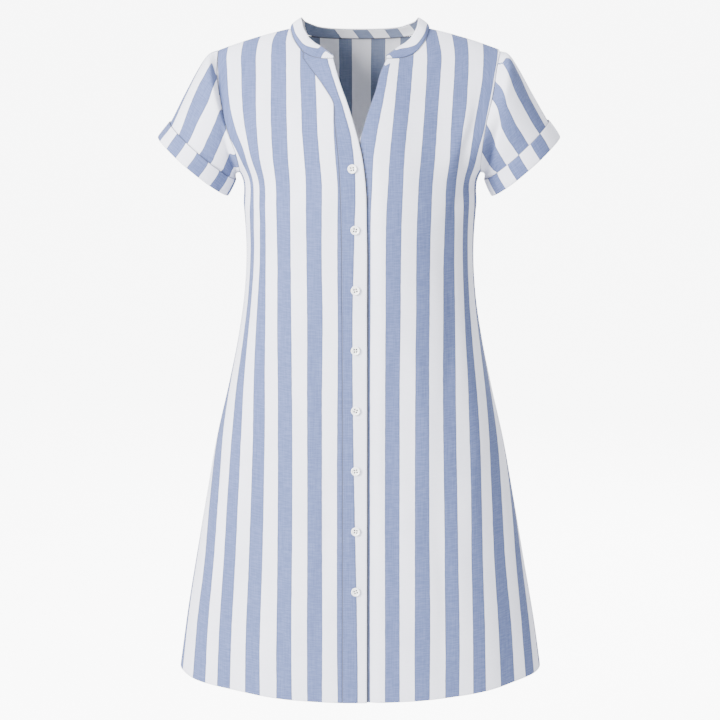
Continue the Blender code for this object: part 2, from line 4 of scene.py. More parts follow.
import bpy
import numpy as np
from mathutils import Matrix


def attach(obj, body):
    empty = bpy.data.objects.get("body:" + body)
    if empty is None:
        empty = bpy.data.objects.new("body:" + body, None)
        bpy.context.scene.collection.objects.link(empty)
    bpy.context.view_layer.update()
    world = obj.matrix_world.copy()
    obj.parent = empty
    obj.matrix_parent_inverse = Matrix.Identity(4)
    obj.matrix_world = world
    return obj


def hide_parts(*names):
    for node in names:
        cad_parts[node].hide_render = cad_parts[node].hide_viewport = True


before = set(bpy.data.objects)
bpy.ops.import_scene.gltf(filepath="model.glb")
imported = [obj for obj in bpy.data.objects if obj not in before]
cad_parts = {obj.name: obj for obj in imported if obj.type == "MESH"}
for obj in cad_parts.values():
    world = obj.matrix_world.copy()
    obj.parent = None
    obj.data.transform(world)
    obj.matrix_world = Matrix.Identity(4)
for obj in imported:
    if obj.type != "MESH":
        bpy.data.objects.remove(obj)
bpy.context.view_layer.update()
print("frame loaded")

right, left = -1, 1  # the wearer's sides, as the sign of x
millimetre = 0.001


def columns(names, *rows):
    # a short table as named columns
    return dict(zip(names.split(), np.array(rows, float).T))


# the dress's measures, as the model has them

body = {
    "neckHalf": 0.0875,
    "underarm": -0.183,
    "hemFront": -0.8605,
    "hemLift": 0.0130,
    "chestDrop": 0.0450,
    "shoulderBow": 0.0020,
    "wall": 1.2 * millimetre,
    "finer": 6,  # how many times finer than the solid
    "passes": 4,  # how often the skirt's angles are worked out again from its heights
    "armholeSteps": 400,  # points on a line before it is spaced evenly
    "openingSteps": 200,
}
fine = body["finer"]
level = columns(
    "z halfWidth front back frontSquare backSquare",
    (0.000, 0.2320, 0.1200, 0.1060, 2.3, 2.3),
    (-0.060, 0.2310, 0.1200, 0.1070, 2.3, 2.3),
    (-0.110, 0.2190, 0.1200, 0.1080, 2.3, 2.3),
    (-0.150, 0.1890, 0.1200, 0.1080, 2.3, 2.3),
    (-0.183, 0.1548, 0.1205, 0.1060, 2.3, 2.3),
    (-0.225, 0.1500, 0.1215, 0.1030, 2.3, 2.3),
    (-0.280, 0.1468, 0.1215, 0.0970, 2.3, 2.3),
    (-0.340, 0.1500, 0.1200, 0.0930, 2.4, 2.3),
    (-0.400, 0.1590, 0.1180, 0.0940, 2.4, 2.3),
    (-0.460, 0.1717, 0.1170, 0.1000, 2.4, 2.2),
    (-0.530, 0.1883, 0.1165, 0.1070, 2.3, 2.2),
    (-0.610, 0.2030, 0.1160, 0.1120, 2.2, 2.2),
    (-0.700, 0.2185, 0.1160, 0.1160, 2.1, 2.1),
    (-0.780, 0.2322, 0.1160, 0.1190, 2.0, 2.1),
    (-0.862, 0.2447, 0.1165, 0.1220, 2.0, 2.0),
)
crown = columns(
    "x front back",
    (0.000, 1.90, 2.60),
    (0.030, 1.90, 2.55),
    (0.060, 1.72, 2.35),
    (0.090, 1.60, 1.95),
    (0.200, 1.60, 1.80),
)
crownFoot = {"front": -0.240, "back": -0.170}
armholes = {
    right: columns(
        "x z",
        (0.1803, -0.0277),
        (0.1800, -0.0580),
        (0.1742, -0.0955),
        (0.1674, -0.1241),
        (0.1575, -0.1536),
        (0.1540, -0.1720),
        (0.1548, -0.1830),
    ),
    left: columns(
        "x z",
        (0.1785, -0.0290),
        (0.1725, -0.0500),
        (0.1665, -0.0833),
        (0.1595, -0.1128),
        (0.1540, -0.1447),
        (0.1530, -0.1690),
        (0.1548, -0.1830),
    ),
}
band = columns(
    "seamX seamZ inward up",
    (0.0335, -0.0350, 0.0060, 0.0035),
    (0.0425, -0.0352, 0.0105, 0.0085),
    (0.0530, -0.0345, 0.0140, 0.0130),
    (0.0645, -0.0315, 0.0145, 0.0155),
    (0.0725, -0.0265, 0.0140, 0.0150),
    (0.0780, -0.0205, 0.0135, 0.0145),
    (0.0835, -0.0120, 0.0130, 0.0140),
    (0.0862, -0.0045, 0.0130, 0.0138),
    (0.0875, 0.0000, 0.0130, 0.0138),
    (0.0820, -0.0052, 0.0135, 0.0138),
    (0.0640, -0.0115, 0.0140, 0.0135),
    (0.0420, -0.0140, 0.0140, 0.0130),
    (0.0210, -0.0148, 0.0140, 0.0128),
    (0.0000, -0.0150, 0.0140, 0.0128),
)
# the stations at the placket's seam, the shoulder point and the middle of the back
bandPlacket, bandShoulder, bandBack = 4, 8, 13
strip = columns(
    "z seam fold",
    (-0.0350, -0.0710, -0.0335),
    (-0.0510, -0.0585, -0.0290),
    (-0.0700, -0.0440, -0.0225),
    (-0.0876, -0.0332, -0.0158),
    (-0.1110, -0.0312, -0.0080),
    (-0.1367, -0.0285, -0.0010),
    (-0.1543, -0.0266, 0.0028),
    (-0.1830, -0.0250, 0.0066),
    (-0.2430, -0.0232, 0.0085),
    (-0.3500, -0.0225, 0.0088),
    (-0.8700, -0.0228, 0.0090),
)
leftEdge = columns(
    "z x",
    (-0.0350, 0.0335),
    (-0.0500, 0.0262),
    (-0.0744, 0.0190),
    (-0.0951, 0.0113),
    (-0.1230, 0.0025),
    (-0.1430, -0.0038),
    (-0.1830, -0.0165),
    (-0.2150, -0.0205),
    (-0.2600, -0.0210),
    (-0.8700, -0.0210),
)
placket = {
    "dip": 3.2 * millimetre,  # how far the left front sinks to pass under it
    "dipStart": 2.0 * millimetre,
    "dipBlend": 17.0 * millimetre,
    "dipSteps": (0.0, 0.0150, 0.0320, 0.0400, 0.0500),
    "levelRow": 6,
    "neckRows": 2,
    "wall": 1.6 * millimetre,
}
sleeveRings = {
    right: columns(
        "topX topZ lowX lowZ halfDepth",
        (0.1932, -0.0335, 0.1584, -0.1840, 0.0625),
        (0.2060, -0.0512, 0.1600, -0.1856, 0.0630),
        (0.2238, -0.0832, 0.1606, -0.1880, 0.0610),
        (0.2428, -0.1190, 0.1612, -0.1912, 0.0570),
        (0.2582, -0.1382, 0.1716, -0.2125, 0.0550),
    ),
    left: columns(
        "topX topZ lowX lowZ halfDepth",
        (0.1895, -0.0330, 0.1584, -0.1840, 0.0625),
        (0.2020, -0.0505, 0.1600, -0.1856, 0.0630),
        (0.2205, -0.0832, 0.1606, -0.1880, 0.0610),
        (0.2408, -0.1170, 0.1612, -0.1912, 0.0570),
        (0.2560, -0.1378, 0.1708, -0.2130, 0.0550),
    ),
}
cuffTop, sleeveEnd = 4, 5  # the rings where the cuff starts and where the sleeve ends
flutes = columns(
    "side degrees proud spread start",
    (right, 24, 0.0022, 9, -0.42),
    (right, 43, -0.0028, 9, -0.38),
    (right, 62, 0.0030, 10, -0.40),
    (left, 20, 0.0018, 8, -0.45),
    (left, 40, 0.0030, 10, -0.36),
    (left, 60, -0.0026, 9, -0.42),
    (right, 112, 0.0040, 11, -0.40),
    (right, 133, -0.0040, 11, -0.34),
    (right, 156, 0.0036, 12, -0.42),
    (left, 115, -0.0034, 11, -0.44),
    (left, 138, 0.0044, 12, -0.36),
    (left, 162, -0.0036, 11, -0.40),
)
grid = {"shoulderColumns": 12, "frontRows": 14, "backRows": 12, "skirtRows": 15}

# Creases, listed: from one point to another on the front or back (x, z), how wide and
# how proud, a trough where proud is below zero.
creases = columns(
    "face x0 z0 x1 z1 width proud",
    # chest and armhole, wearer's left front
    (-1, 0.150, -0.062, 0.128, -0.205, 0.0095, -0.0024),
    (-1, 0.134, -0.070, 0.112, -0.215, 0.0110, 0.0016),
    (-1, 0.152, -0.150, 0.106, -0.262, 0.0080, -0.0013),
    (-1, 0.098, -0.040, 0.088, -0.190, 0.0140, -0.0010),
    (-1, 0.060, -0.060, 0.046, -0.240, 0.0120, 0.0009),
    # chest and armhole, wearer's right front
    (-1, -0.150, -0.070, -0.134, -0.210, 0.0095, -0.0014),
    (-1, -0.128, -0.060, -0.112, -0.235, 0.0120, 0.0012),
    (-1, -0.152, -0.160, -0.118, -0.262, 0.0080, -0.0010),
    (-1, -0.095, -0.050, -0.084, -0.250, 0.0150, -0.0009),
    (-1, -0.050, -0.100, -0.047, -0.330, 0.0100, 0.0007),
    # waist and skirt, front
    (-1, 0.108, -0.240, 0.118, -0.520, 0.0100, -0.0012),
    (-1, -0.104, -0.250, -0.120, -0.540, 0.0110, -0.0012),
    (-1, 0.072, -0.300, 0.080, -0.640, 0.0120, 0.0010),
    (-1, -0.066, -0.280, -0.074, -0.620, 0.0120, 0.0010),
    (-1, 0.040, -0.360, 0.044, -0.760, 0.0090, -0.0008),
    (-1, -0.046, -0.420, -0.050, -0.860, 0.0090, -0.0009),
    (-1, 0.132, -0.380, 0.160, -0.700, 0.0120, 0.0012),
    (-1, -0.134, -0.400, -0.165, -0.720, 0.0120, 0.0011),
    (-1, 0.098, -0.560, 0.112, -0.870, 0.0100, -0.0013),
    (-1, -0.100, -0.600, -0.110, -0.870, 0.0100, -0.0012),
    # back
    (1, 0.140, -0.080, 0.100, -0.240, 0.0120, -0.0018),
    (1, -0.138, -0.090, -0.104, -0.250, 0.0120, -0.0016),
    (1, 0.070, -0.120, 0.060, -0.330, 0.0140, 0.0012),
    (1, -0.062, -0.130, -0.056, -0.360, 0.0140, 0.0011),
    (1, 0.096, -0.260, 0.118, -0.560, 0.0120, -0.0016),
    (1, -0.092, -0.280, -0.112, -0.600, 0.0120, -0.0015),
    (1, 0.020, -0.260, 0.026, -0.620, 0.0130, -0.0012),
    (1, -0.030, -0.400, -0.034, -0.840, 0.0120, 0.0012),
    (1, 0.060, -0.480, 0.070, -0.870, 0.0120, 0.0012),
)


# shape by formula

facing = {"front": -1, "back": 1}  # as the sign of y


def hermite(t, first, last, leaving, arriving):
    # a cubic from the first value to the last with the slopes given for its ends
    start = (1 + 2 * t) * (1 - t) ** 2 * first + t * (1 - t) ** 2 * leaving
    end = t * t * (3 - 2 * t) * last + t * t * (t - 1) * arriving
    return start + end


def through(xs, ys, at):
    # a cubic through the points, its slope at each that of its neighbours
    order = np.argsort(xs)
    xs, ys = np.asarray(xs)[order], np.asarray(ys)[order]
    slopes = np.gradient(ys, xs)
    at = np.clip(at, xs[0], xs[-1])
    i = np.clip(np.searchsorted(xs, at) - 1, 0, len(xs) - 2)
    span = xs[i + 1] - xs[i]
    return hermite((at - xs[i]) / span, ys[i], ys[i + 1], span * slopes[i], span * slopes[i + 1])


def atHeight(table, name, z):
    # a table's column at any height
    return through(table["z"], table[name], z)


def finer(values, count=None):
    # a station list at its finer steps, cubic in the stations' own order
    order = np.arange(len(values))
    at = np.linspace(0, order[-1], count or order[-1] * fine + 1)
    return through(order, values, at)


def ease(t):
    # from 0 to 1 with no corner at either end
    t = np.clip(t, 0, 1)
    return t * t * (3 - 2 * t)


def unit(ways):
    # directions at length one
    return ways / np.linalg.norm(ways, axis=-1, keepdims=True).clip(1e-12)


def lengths(points, axis=0):
    # length along a line, or along one axis of a grid, from its start
    steps = np.linalg.norm(np.diff(points, axis=axis), axis=-1)
    return np.insert(np.cumsum(steps, axis=axis), 0, 0, axis=axis)


def readAt(values, length, at):
    # each column of values at the lengths asked for
    return np.stack([np.interp(at, length, column) for column in values.T], axis=-1)


def spaced(points, count):
    # that many intervals of even length along a line of points
    length = lengths(points)
    return readAt(points, length, np.linspace(0, length[-1], count + 1))


def shoulderTip(side):
    # x and z of the armhole's upper end
    return armholes[side]["x"][0], armholes[side]["z"][0]


def ridge(x):
    # height of the shoulder seam: level across the neck, then straight with a small bow
    x = np.abs(x)
    tipX, tipZ = shoulderTip(right)
    along = np.maximum(x - body["neckHalf"], 0) / (tipX - body["neckHalf"])
    bow = 4 * body["shoulderBow"] * np.clip(along * (1 - along), 0, None)
    return tipZ * along + bow


def crowned(face, x, z):
    # share of the full depth: 0 on the shoulder seam, 1 below the chest, on a rounded curve
    top = ridge(x)
    power = through(crown["x"], crown[face], np.abs(x))
    share = np.clip((top - z) / (top - crownFoot[face]), 0, 1)
    return (1 - (1 - share) ** power) ** (1 / power)


def depthAt(face, x, z):
    # depth of a squared ellipse of that level's width and depth, times the crown's share
    square = atHeight(level, face + "Square", z)
    share = np.abs(x) / atHeight(level, "halfWidth", z)
    oval = np.clip(1 - share**square, 0, None) ** (1 / square)
    return atHeight(level, face, z) * oval * crowned(face, x, z)


def placed(face, flat):
    # points on the front or back from their x and z
    x, z = flat[..., 0], flat[..., 1]
    return np.stack([x, facing[face] * depthAt(face, x, z), z], axis=-1)


def fluted(points):
    # the skirt's soft flutes: rounded rises about the body that grow down to the hem
    x, y, z = np.moveaxis(points, -1, 0)
    turn = np.arctan2(np.abs(x) / atHeight(level, "halfWidth", z), -y / atHeight(level, "front", z))
    proud = np.zeros_like(x)
    for side, degrees, height, spread, start in zip(*flutes.values()):
        bump = height * np.exp(-(((np.degrees(turn) - degrees) / spread) ** 2))
        growth = ease((start - z) / (start - body["hemFront"]))
        proud += np.where(x * side > 0, bump * growth, 0)
    scale = 1 + proud / np.hypot(x, y)
    return np.stack([x * scale, y * scale, z], axis=-1)


def coons(top, bottom, inner, outer):
    # a patch between four edges: the two ruled surfaces added, less the corners' own
    u = np.linspace(0, 1, len(top))[None, :, None]
    v = np.linspace(0, 1, len(inner))[:, None, None]
    across = (1 - u) * inner[:, None] + u * outer[:, None]
    down = (1 - v) * top + v * bottom
    ends = (1 - v) * ((1 - u) * top[0] + u * top[-1]) + v * ((1 - u) * bottom[0] + u * bottom[-1])
    return across + down - ends


def armholeLine(side, face, rows):
    # the armhole's x and z, evenly spaced along it as it lies on the front or back
    x, z = [finer(armholes[side][name], body["armholeSteps"]) for name in ("x", "z")]
    return spaced(placed(face, np.stack([x * side, z], axis=1)), rows)[:, (0, 2)]


def shoulderLine(side):
    # the shoulder seam's x and z, from the neck out
    x = np.linspace(body["neckHalf"], shoulderTip(side)[0], grid["shoulderColumns"] * fine + 1)
    z = ridge(x)
    z[-1] = shoulderTip(side)[1]
    return np.stack([x * side, z], axis=1)


def bandLine(side, first, last):
    # the neckline's x and z from one of the band's stations to another
    way = 1 if last > first else -1
    stations = np.arange(first, last + way, way)
    return np.stack([side * finer(band["seamX"][stations]), finer(band["seamZ"][stations])], axis=1)


def aroundBody(face, side, edge, count, steps=(0.0,)):
    # rows from the line x = edge(z) round to the side seam: the first columns at set steps
    # from the edge, the rest evenly turned; rows fall from the chest to the hem
    last = len(steps) - 1
    column = np.linspace(0, count, count * fine + 1)
    offset = np.interp(column, np.arange(len(steps)), steps)
    turn = np.clip((column - last) / (count - last), 0, 1)
    shares = np.linspace(0, 1, grid["skirtRows"] * fine + 1)[:, None]
    angle = np.linspace(0, math.pi / 2, len(column)) + 0 * shares
    for _ in range(body["passes"]):
        hem = body["hemFront"] + body["hemLift"] * np.sin(angle) ** 2
        chest = body["underarm"] - body["chestDrop"] * np.cos(angle)
        z = chest + shares * (hem - chest)
        half = atHeight(level, "halfWidth", z)
        square = atHeight(level, face + "Square", z)
        share = (side * edge(z) + offset) / half
        here = np.sign(share) * np.arcsin(np.clip(np.abs(share), 0, 1) ** (square / 2))
        angle = here + (math.pi / 2 - here) * turn
    x = half * np.sign(angle) * np.abs(np.sin(angle)) ** (2 / square)
    x[:, -1] = half[:, -1]
    y = atHeight(level, face, z) * np.abs(np.cos(angle)) ** (2 / square) * crowned(face, x, z)
    y[:, -1] = 0
    return np.stack([x * side, facing[face] * y, z], axis=-1)


def panel(face, top, inner, outer, skirt, neckColumns=0):
    # a patch between four edges laid on the body, flat on the shoulder seam, which starts after
    # the neckline's columns, and the fluted skirt below it
    upper = placed(face, coons(top, skirt[0][:, (0, 2)], inner, outer))
    upper[0, neckColumns:, 1] = 0
    upper[-1] = skirt[0]
    return np.concatenate([upper, fluted(skirt[1:])])


def frontSurface(side, neck, edgeTable, edgeName, steps=(0.0,)):
    # a panel between shoulder, neckline and opening, and armhole
    def edge(z):
        return atHeight(edgeTable, edgeName, z)

    skirt = aroundBody("front", side, edge, grid["shoulderColumns"], steps)
    down = np.linspace(neck[-1, 1], skirt[0, 0, 2], body["openingSteps"])
    opening = np.stack([edge(down), down], axis=1)
    opening[0] = neck[-1]
    opening[-1] = skirt[0, 0, (0, 2)]
    rows = grid["frontRows"] * fine
    opening = spaced(placed("front", opening), rows - len(neck) + 1)[:, (0, 2)]
    inner = np.concatenate([neck, opening[1:]])
    return panel("front", shoulderLine(side), inner, armholeLine(side, "front", rows), skirt)


def sunk(points):
    # the left front, let down where it passes under the placket
    x, z = points[..., 0], points[..., 2]
    past = x - atHeight(strip, "fold", z) - placket["dipStart"]
    dip = placket["dip"] * ease(1 - past / placket["dipBlend"])
    return points + dip[..., None] * (0, 1, 0)


def backSurface():
    # both halves of the back, from the middle out, joined along the middle
    rows = grid["backRows"] * fine
    halves = []
    for side in (right, left):
        neck = bandLine(side, bandBack, bandShoulder)
        top = np.concatenate([neck, shoulderLine(side)[1:]])
        skirt = aroundBody("back", side, lambda z: 0 * z, (len(top) - 1) // fine)
        inner = np.linspace(top[0], skirt[0, 0, (0, 2)], rows + 1)
        outer = armholeLine(side, "back", rows)
        halves.append(panel("back", top, inner, outer, skirt, len(neck) - 1))
    return np.concatenate([halves[0][:, ::-1], halves[1][:, 1:]], axis=1)


def placketSurface(frontRight):
    # from the right front's edge across to its own fold, row by row
    seam = frontRight[(bandShoulder - bandPlacket) * fine :, 0]
    top = bandLine(right, 0, bandPlacket)[::-1]
    rows = np.arange(len(seam)) / fine
    lag = (top[-1, 1] - seam[0, 2]) * np.clip(1 - rows / placket["levelRow"], 0, 1)
    height = seam[:, 2] + lag
    edge = np.stack([atHeight(strip, "fold", height), height], axis=1)
    edge[0] = top[-1]
    across = np.linspace(0, 1, len(top))[None, :, None]
    flat = (1 - across) * seam[:, None][..., (0, 2)] + across * edge[:, None]
    straight = (1 - across[0]) * top[0] + across[0] * top[-1]
    fade = np.clip(1 - rows / placket["neckRows"], 0, 1)[:, None, None]
    points = placed("front", flat + fade * (top - straight))
    points[:, 0] = seam
    return points


def sleeveSurface(side, front, back):
    # rings from the armhole to the hem, each an ellipse between its top and low points;
    # a ring starts at the shoulder, goes down the front of the arm and up its back
    frontRows, backRows = grid["frontRows"] * fine, grid["backRows"] * fine
    forward = np.linspace(0, math.pi, frontRows + 1)
    behind = np.linspace(math.pi, 2 * math.pi, backRows + 1)[1:]
    angles = np.concatenate([forward, behind])[:, None]
    rings = [np.concatenate([front[: frontRows + 1, -1], back[backRows - 1 :: -1, -1]])]
    for topX, topZ, lowX, lowZ, halfDepth in zip(*sleeveRings[side].values()):
        top, low = np.array((topX * side, 0, topZ)), np.array((lowX * side, 0, lowZ))
        along = np.cos(angles) * (top - low) / 2
        rings.append((top + low) / 2 + along + np.sin(angles) * (0, -halfDepth, 0))
    surface = ringsAt(np.array(rings), np.linspace(0, sleeveEnd, sleeveEnd * sleeve["rows"] + 1))
    surface[:, -1] = surface[:, 0]
    return surface


def ringsAt(rings, at):
    # rings between the given ones, each column a cubic down the sleeve
    slopes = np.gradient(rings, axis=0)
    i = np.minimum(at.astype(int), len(rings) - 2)
    return hermite((at - i)[:, None, None], rings[i], rings[i + 1], slopes[i], slopes[i + 1])


def bandSurface():
    # from the neckline up and inward to the top edge, with a slight roll, more over the shoulders
    half = bandLine(left, 0, bandBack)
    turn = bandShoulder * fine
    front, back = placed("front", half[: turn + 1]), placed("back", half[turn + 1 :])
    front[-1, 1] = 0
    seam = np.concatenate([front, back])
    tangent = np.gradient(seam[:, :2], axis=0)
    tangent[-1] = (-1, 0)
    inward = unit(np.stack([-tangent[:, 1], tangent[:, 0], 0 * tangent[:, 0]], axis=1))
    rise = inward * finer(band["inward"])[:, None] + finer(band["up"])[:, None] * (0, 0, 1)
    share = np.linspace(0, 1, collar["rows"] + 1)[:, None, None]
    side = np.exp(-(((seam[:, 0] - collar["sideAt"]) / collar["sideSpread"]) ** 2))[:, None]
    roll = (collar["roll"] + collar["sideRoll"] * side) * np.sin(math.pi * share ** collar["bulge"])
    leftHalf = seam + share * rise - roll * inward
    return np.concatenate([leftHalf * (-1, 1, 1), leftHalf[:, -2::-1]], axis=1)


drape = {
    "strength": 1.5,  # how strong the creases are beside their table
    "bend": 0.5,  # how far a crease bends to and fro, as a share of its width
    "bends": 2.4,
    "taper": 1.2,
    "turnsAt": 35.0 * millimetre,  # how near the side a crease of the front or back fades
    "waver": 0.6 * millimetre,
    "waverTop": -0.03,
    "waverFade": 0.10,
    "sideways": 0.5,  # how much its way off the body leans to the side
}


def outward(points):
    # the way that cloth stands off the body: level, away from its axis
    return unit(points * (drape["sideways"], 1, 0))


def draped(points):
    # cloth with its creases: each a rounded rise about a line on the front or back, deepest
    # at its middle and gone at both ends, plus a slow waver
    x, y, z = np.moveaxis(points, -1, 0)
    proud = np.zeros_like(x)
    for face, x0, z0, x1, z1, width, height in zip(*creases.values()):
        run, fall = x1 - x0, z1 - z0
        t = ((x - x0) * run + (z - z0) * fall) / (run * run + fall * fall)
        bend = width * drape["bend"] * np.sin(drape["bends"] * math.pi * t + 40 * x0)
        gap = ((x - x0) * fall - (z - z0) * run) / math.hypot(run, fall) + bend
        taper = np.sin(math.pi * np.clip(t, 0, 1)) ** drape["taper"]
        near = ease(y * face / drape["turnsAt"])
        proud += drape["strength"] * height * np.exp(-((gap / width) ** 2)) * taper * near
    # waves a metre, uneven so that none of them repeats
    waver = np.sin(31 * x + 9 * z + 2 * np.sin(7 * z)) * np.sin(11 * z - 14 * x + 1.1)
    proud += drape["waver"] * waver * ease((drape["waverTop"] - z) / drape["waverFade"])
    return points + outward(points) * proud[..., None]


print("formulas ready")


# cloth as meshes

bodyMiddle, neckMiddle = (0, 0, -0.4), (0, 0, -0.1)  # what cloth faces away from
sleeve = {"rows": 14, "wall": 1.2 * millimetre}  # rows from one ring to the next
collar = {
    "rows": 16,
    "wall": 1.6 * millimetre,
    "roll": 0.7 * millimetre,
    "bulge": 0.8,  # below 1, so that it is fullest a little under its middle
    "sideRoll": 3.0 * millimetre,  # how much more it rolls over the shoulders
    "sideAt": 0.086,
    "sideSpread": 0.016,
    "whiteTop": 6.3 * millimetre,  # how far its blue starts below the top edge, less one stripe
    "blueEnds": 10.0 * millimetre,  # how much higher its blue comes towards the opening
    "endsFrom": 0.075,
    "endsBlend": 0.035,
    "tipBlend": 0.0110,
    "bias": 0.50,
}
tipReach = {right: 0.0530, left: 0.0460}  # how far out the white of its turned-in ends comes
cuff = {
    "lift": 0.3 * millimetre,  # off the sleeve
    "wall": 1.7 * millimetre,
    "puff": 0.5 * millimetre,  # how far its middle stands over its edges
    "wave": 0.35 * millimetre,
    "waves": 7,
    "slant": 3,
}
seam = {
    "beside": (0.8 * millimetre, 2.0 * millimetre),  # the lines added along an edge
    "within": 0.8,  # as a share of the first step, at most
    "share": (1.0, 0.42, 0.10),  # how much of the roll each of them takes
    "roll": 0.55 * millimetre,  # how far a sewn edge rolls in
    "edgeRoll": 0.38 * millimetre,  # and a folded one
}


def normalsOf(points, closed, centre):
    # unit normals from the slopes of rows and columns, turned away from the hollow
    if closed:
        ring = np.concatenate([points[:, -2:-1], points, points[:, 1:2]], axis=1)
        across = (ring[:, 2:] - ring[:, :-2]) / 2
    else:
        across = np.gradient(points, axis=1)
    normals = unit(np.cross(across, np.gradient(points, axis=0)))
    return normals * np.sign(np.sum(normals * (points - centre)))


def edgeLines(stack, edges):
    # two more lines beside each named edge, at set distances from it, with the share of the
    # edge's roll that each takes kept in the last channel
    for name, roll in edges.items():
        turned, flipped = name in ("first", "last"), name in ("bottom", "last")
        stack = stack.swapaxes(0, 1) if turned else stack
        stack = stack[::-1] if flipped else stack
        step = stack[1] - stack[0]
        width = np.linalg.norm(step[:, :3], axis=-1, keepdims=True).clip(1e-9)
        shares = [np.minimum(gap / width, seam["within"]) for gap in seam["beside"]]
        added = [stack[0] + step * share for share in shares]
        for line, share in zip([stack[0], *added], seam["share"]):
            line[:, -1] = np.maximum(line[:, -1], roll * share)
        stack = np.concatenate([stack[:1], np.array(added), stack[1:]])
        stack = stack[::-1] if flipped else stack
        stack = stack.swapaxes(0, 1) if turned else stack
    return stack


def gridCorners(rows, count):
    # the row and the column of each face's four corners, round the face
    i, j = np.meshgrid(np.arange(rows - 1), np.arange(count - 1), indexing="ij")
    i, j = i.ravel(), j.ravel()
    return np.stack([i, i, i + 1, i + 1], axis=1), np.stack([j, j + 1, j + 1, j], axis=1)


def linked(name, mesh):
    # a mesh as a smooth object in the scene
    mesh.validate()
    mesh.shade_smooth()
    piece = bpy.data.objects.new(name, mesh)
    bpy.context.collection.objects.link(piece)
    return piece


def clothPiece(name, points, cloth, edges, wall, closed=False, centre=bodyMiddle):
    # a grid of points and its cloth coordinates (across, along, the stripes of its face and
    # those of its reverse, and a painted shade if it has one) as one sheet with a wall; a
    # painted shade also darkens its sewn edges by their roll
    roll = np.zeros(points.shape[:2] + (1,))
    stack = edgeLines(np.concatenate([points, cloth, roll], axis=-1), edges)
    points, cloth, shade, roll = np.split(stack, (3, 7, stack.shape[-1] - 1), axis=-1)
    # painted shade: the share of a seam's roll, or the piece's own painted shade, whichever is more
    paintedShade = np.maximum(roll / seam["roll"], shade.sum(axis=-1, keepdims=True))
    cloth = np.concatenate([cloth, paintedShade], axis=-1)
    normals = normalsOf(points, closed, centre)
    points = points - normals * roll
    rows, count = points.shape[:2]
    span = count - 1 if closed else count  # a closed piece's last column is its first
    i, j = gridCorners(rows, count)
    faces, loopCloth = i * span + j % span, cloth[i, j]
    corners = points[:, :span].reshape(-1, 3)
    a, b, d = corners[faces[:, 0]], corners[faces[:, 1]], corners[faces[:, 3]]
    if np.sum(np.cross(b - a, d - a) * normals[i[:, 0], j[:, 0]]) < 0:
        faces, loopCloth = faces[:, ::-1], loopCloth[:, ::-1]
    mesh = bpy.data.meshes.new(name)
    mesh.vertices.add(len(corners))
    mesh.vertices.foreach_set("co", corners.ravel())
    mesh.loops.add(faces.size)
    mesh.loops.foreach_set("vertex_index", faces.ravel().astype(np.int32))
    mesh.polygons.add(len(faces))
    mesh.polygons.foreach_set("loop_start", np.arange(0, faces.size, 4, dtype=np.int32))
    mesh.update(calc_edges=True)
    loopCloth = loopCloth.reshape(-1, 5).astype(np.float32)
    for title, channels in (("cloth", (0, 1)), ("stripe", (2, 4)), ("reverse", (3, 4))):
        layer = mesh.uv_layers.new(name=title)
        layer.data.foreach_set("uv", loopCloth[:, channels].ravel())
    piece = linked(name, mesh)
    solid = piece.modifiers.new("wall", "SOLIDIFY")
    solid.thickness = wall
    solid.offset = -1
    solid.material_offset = 1
    return piece


def plainPiece(name, points, faces):
    # a smooth piece from points and faces
    mesh = bpy.data.meshes.new(name)
    mesh.from_pydata(points.reshape(-1, 3).tolist(), [], faces)
    return linked(name, mesh)


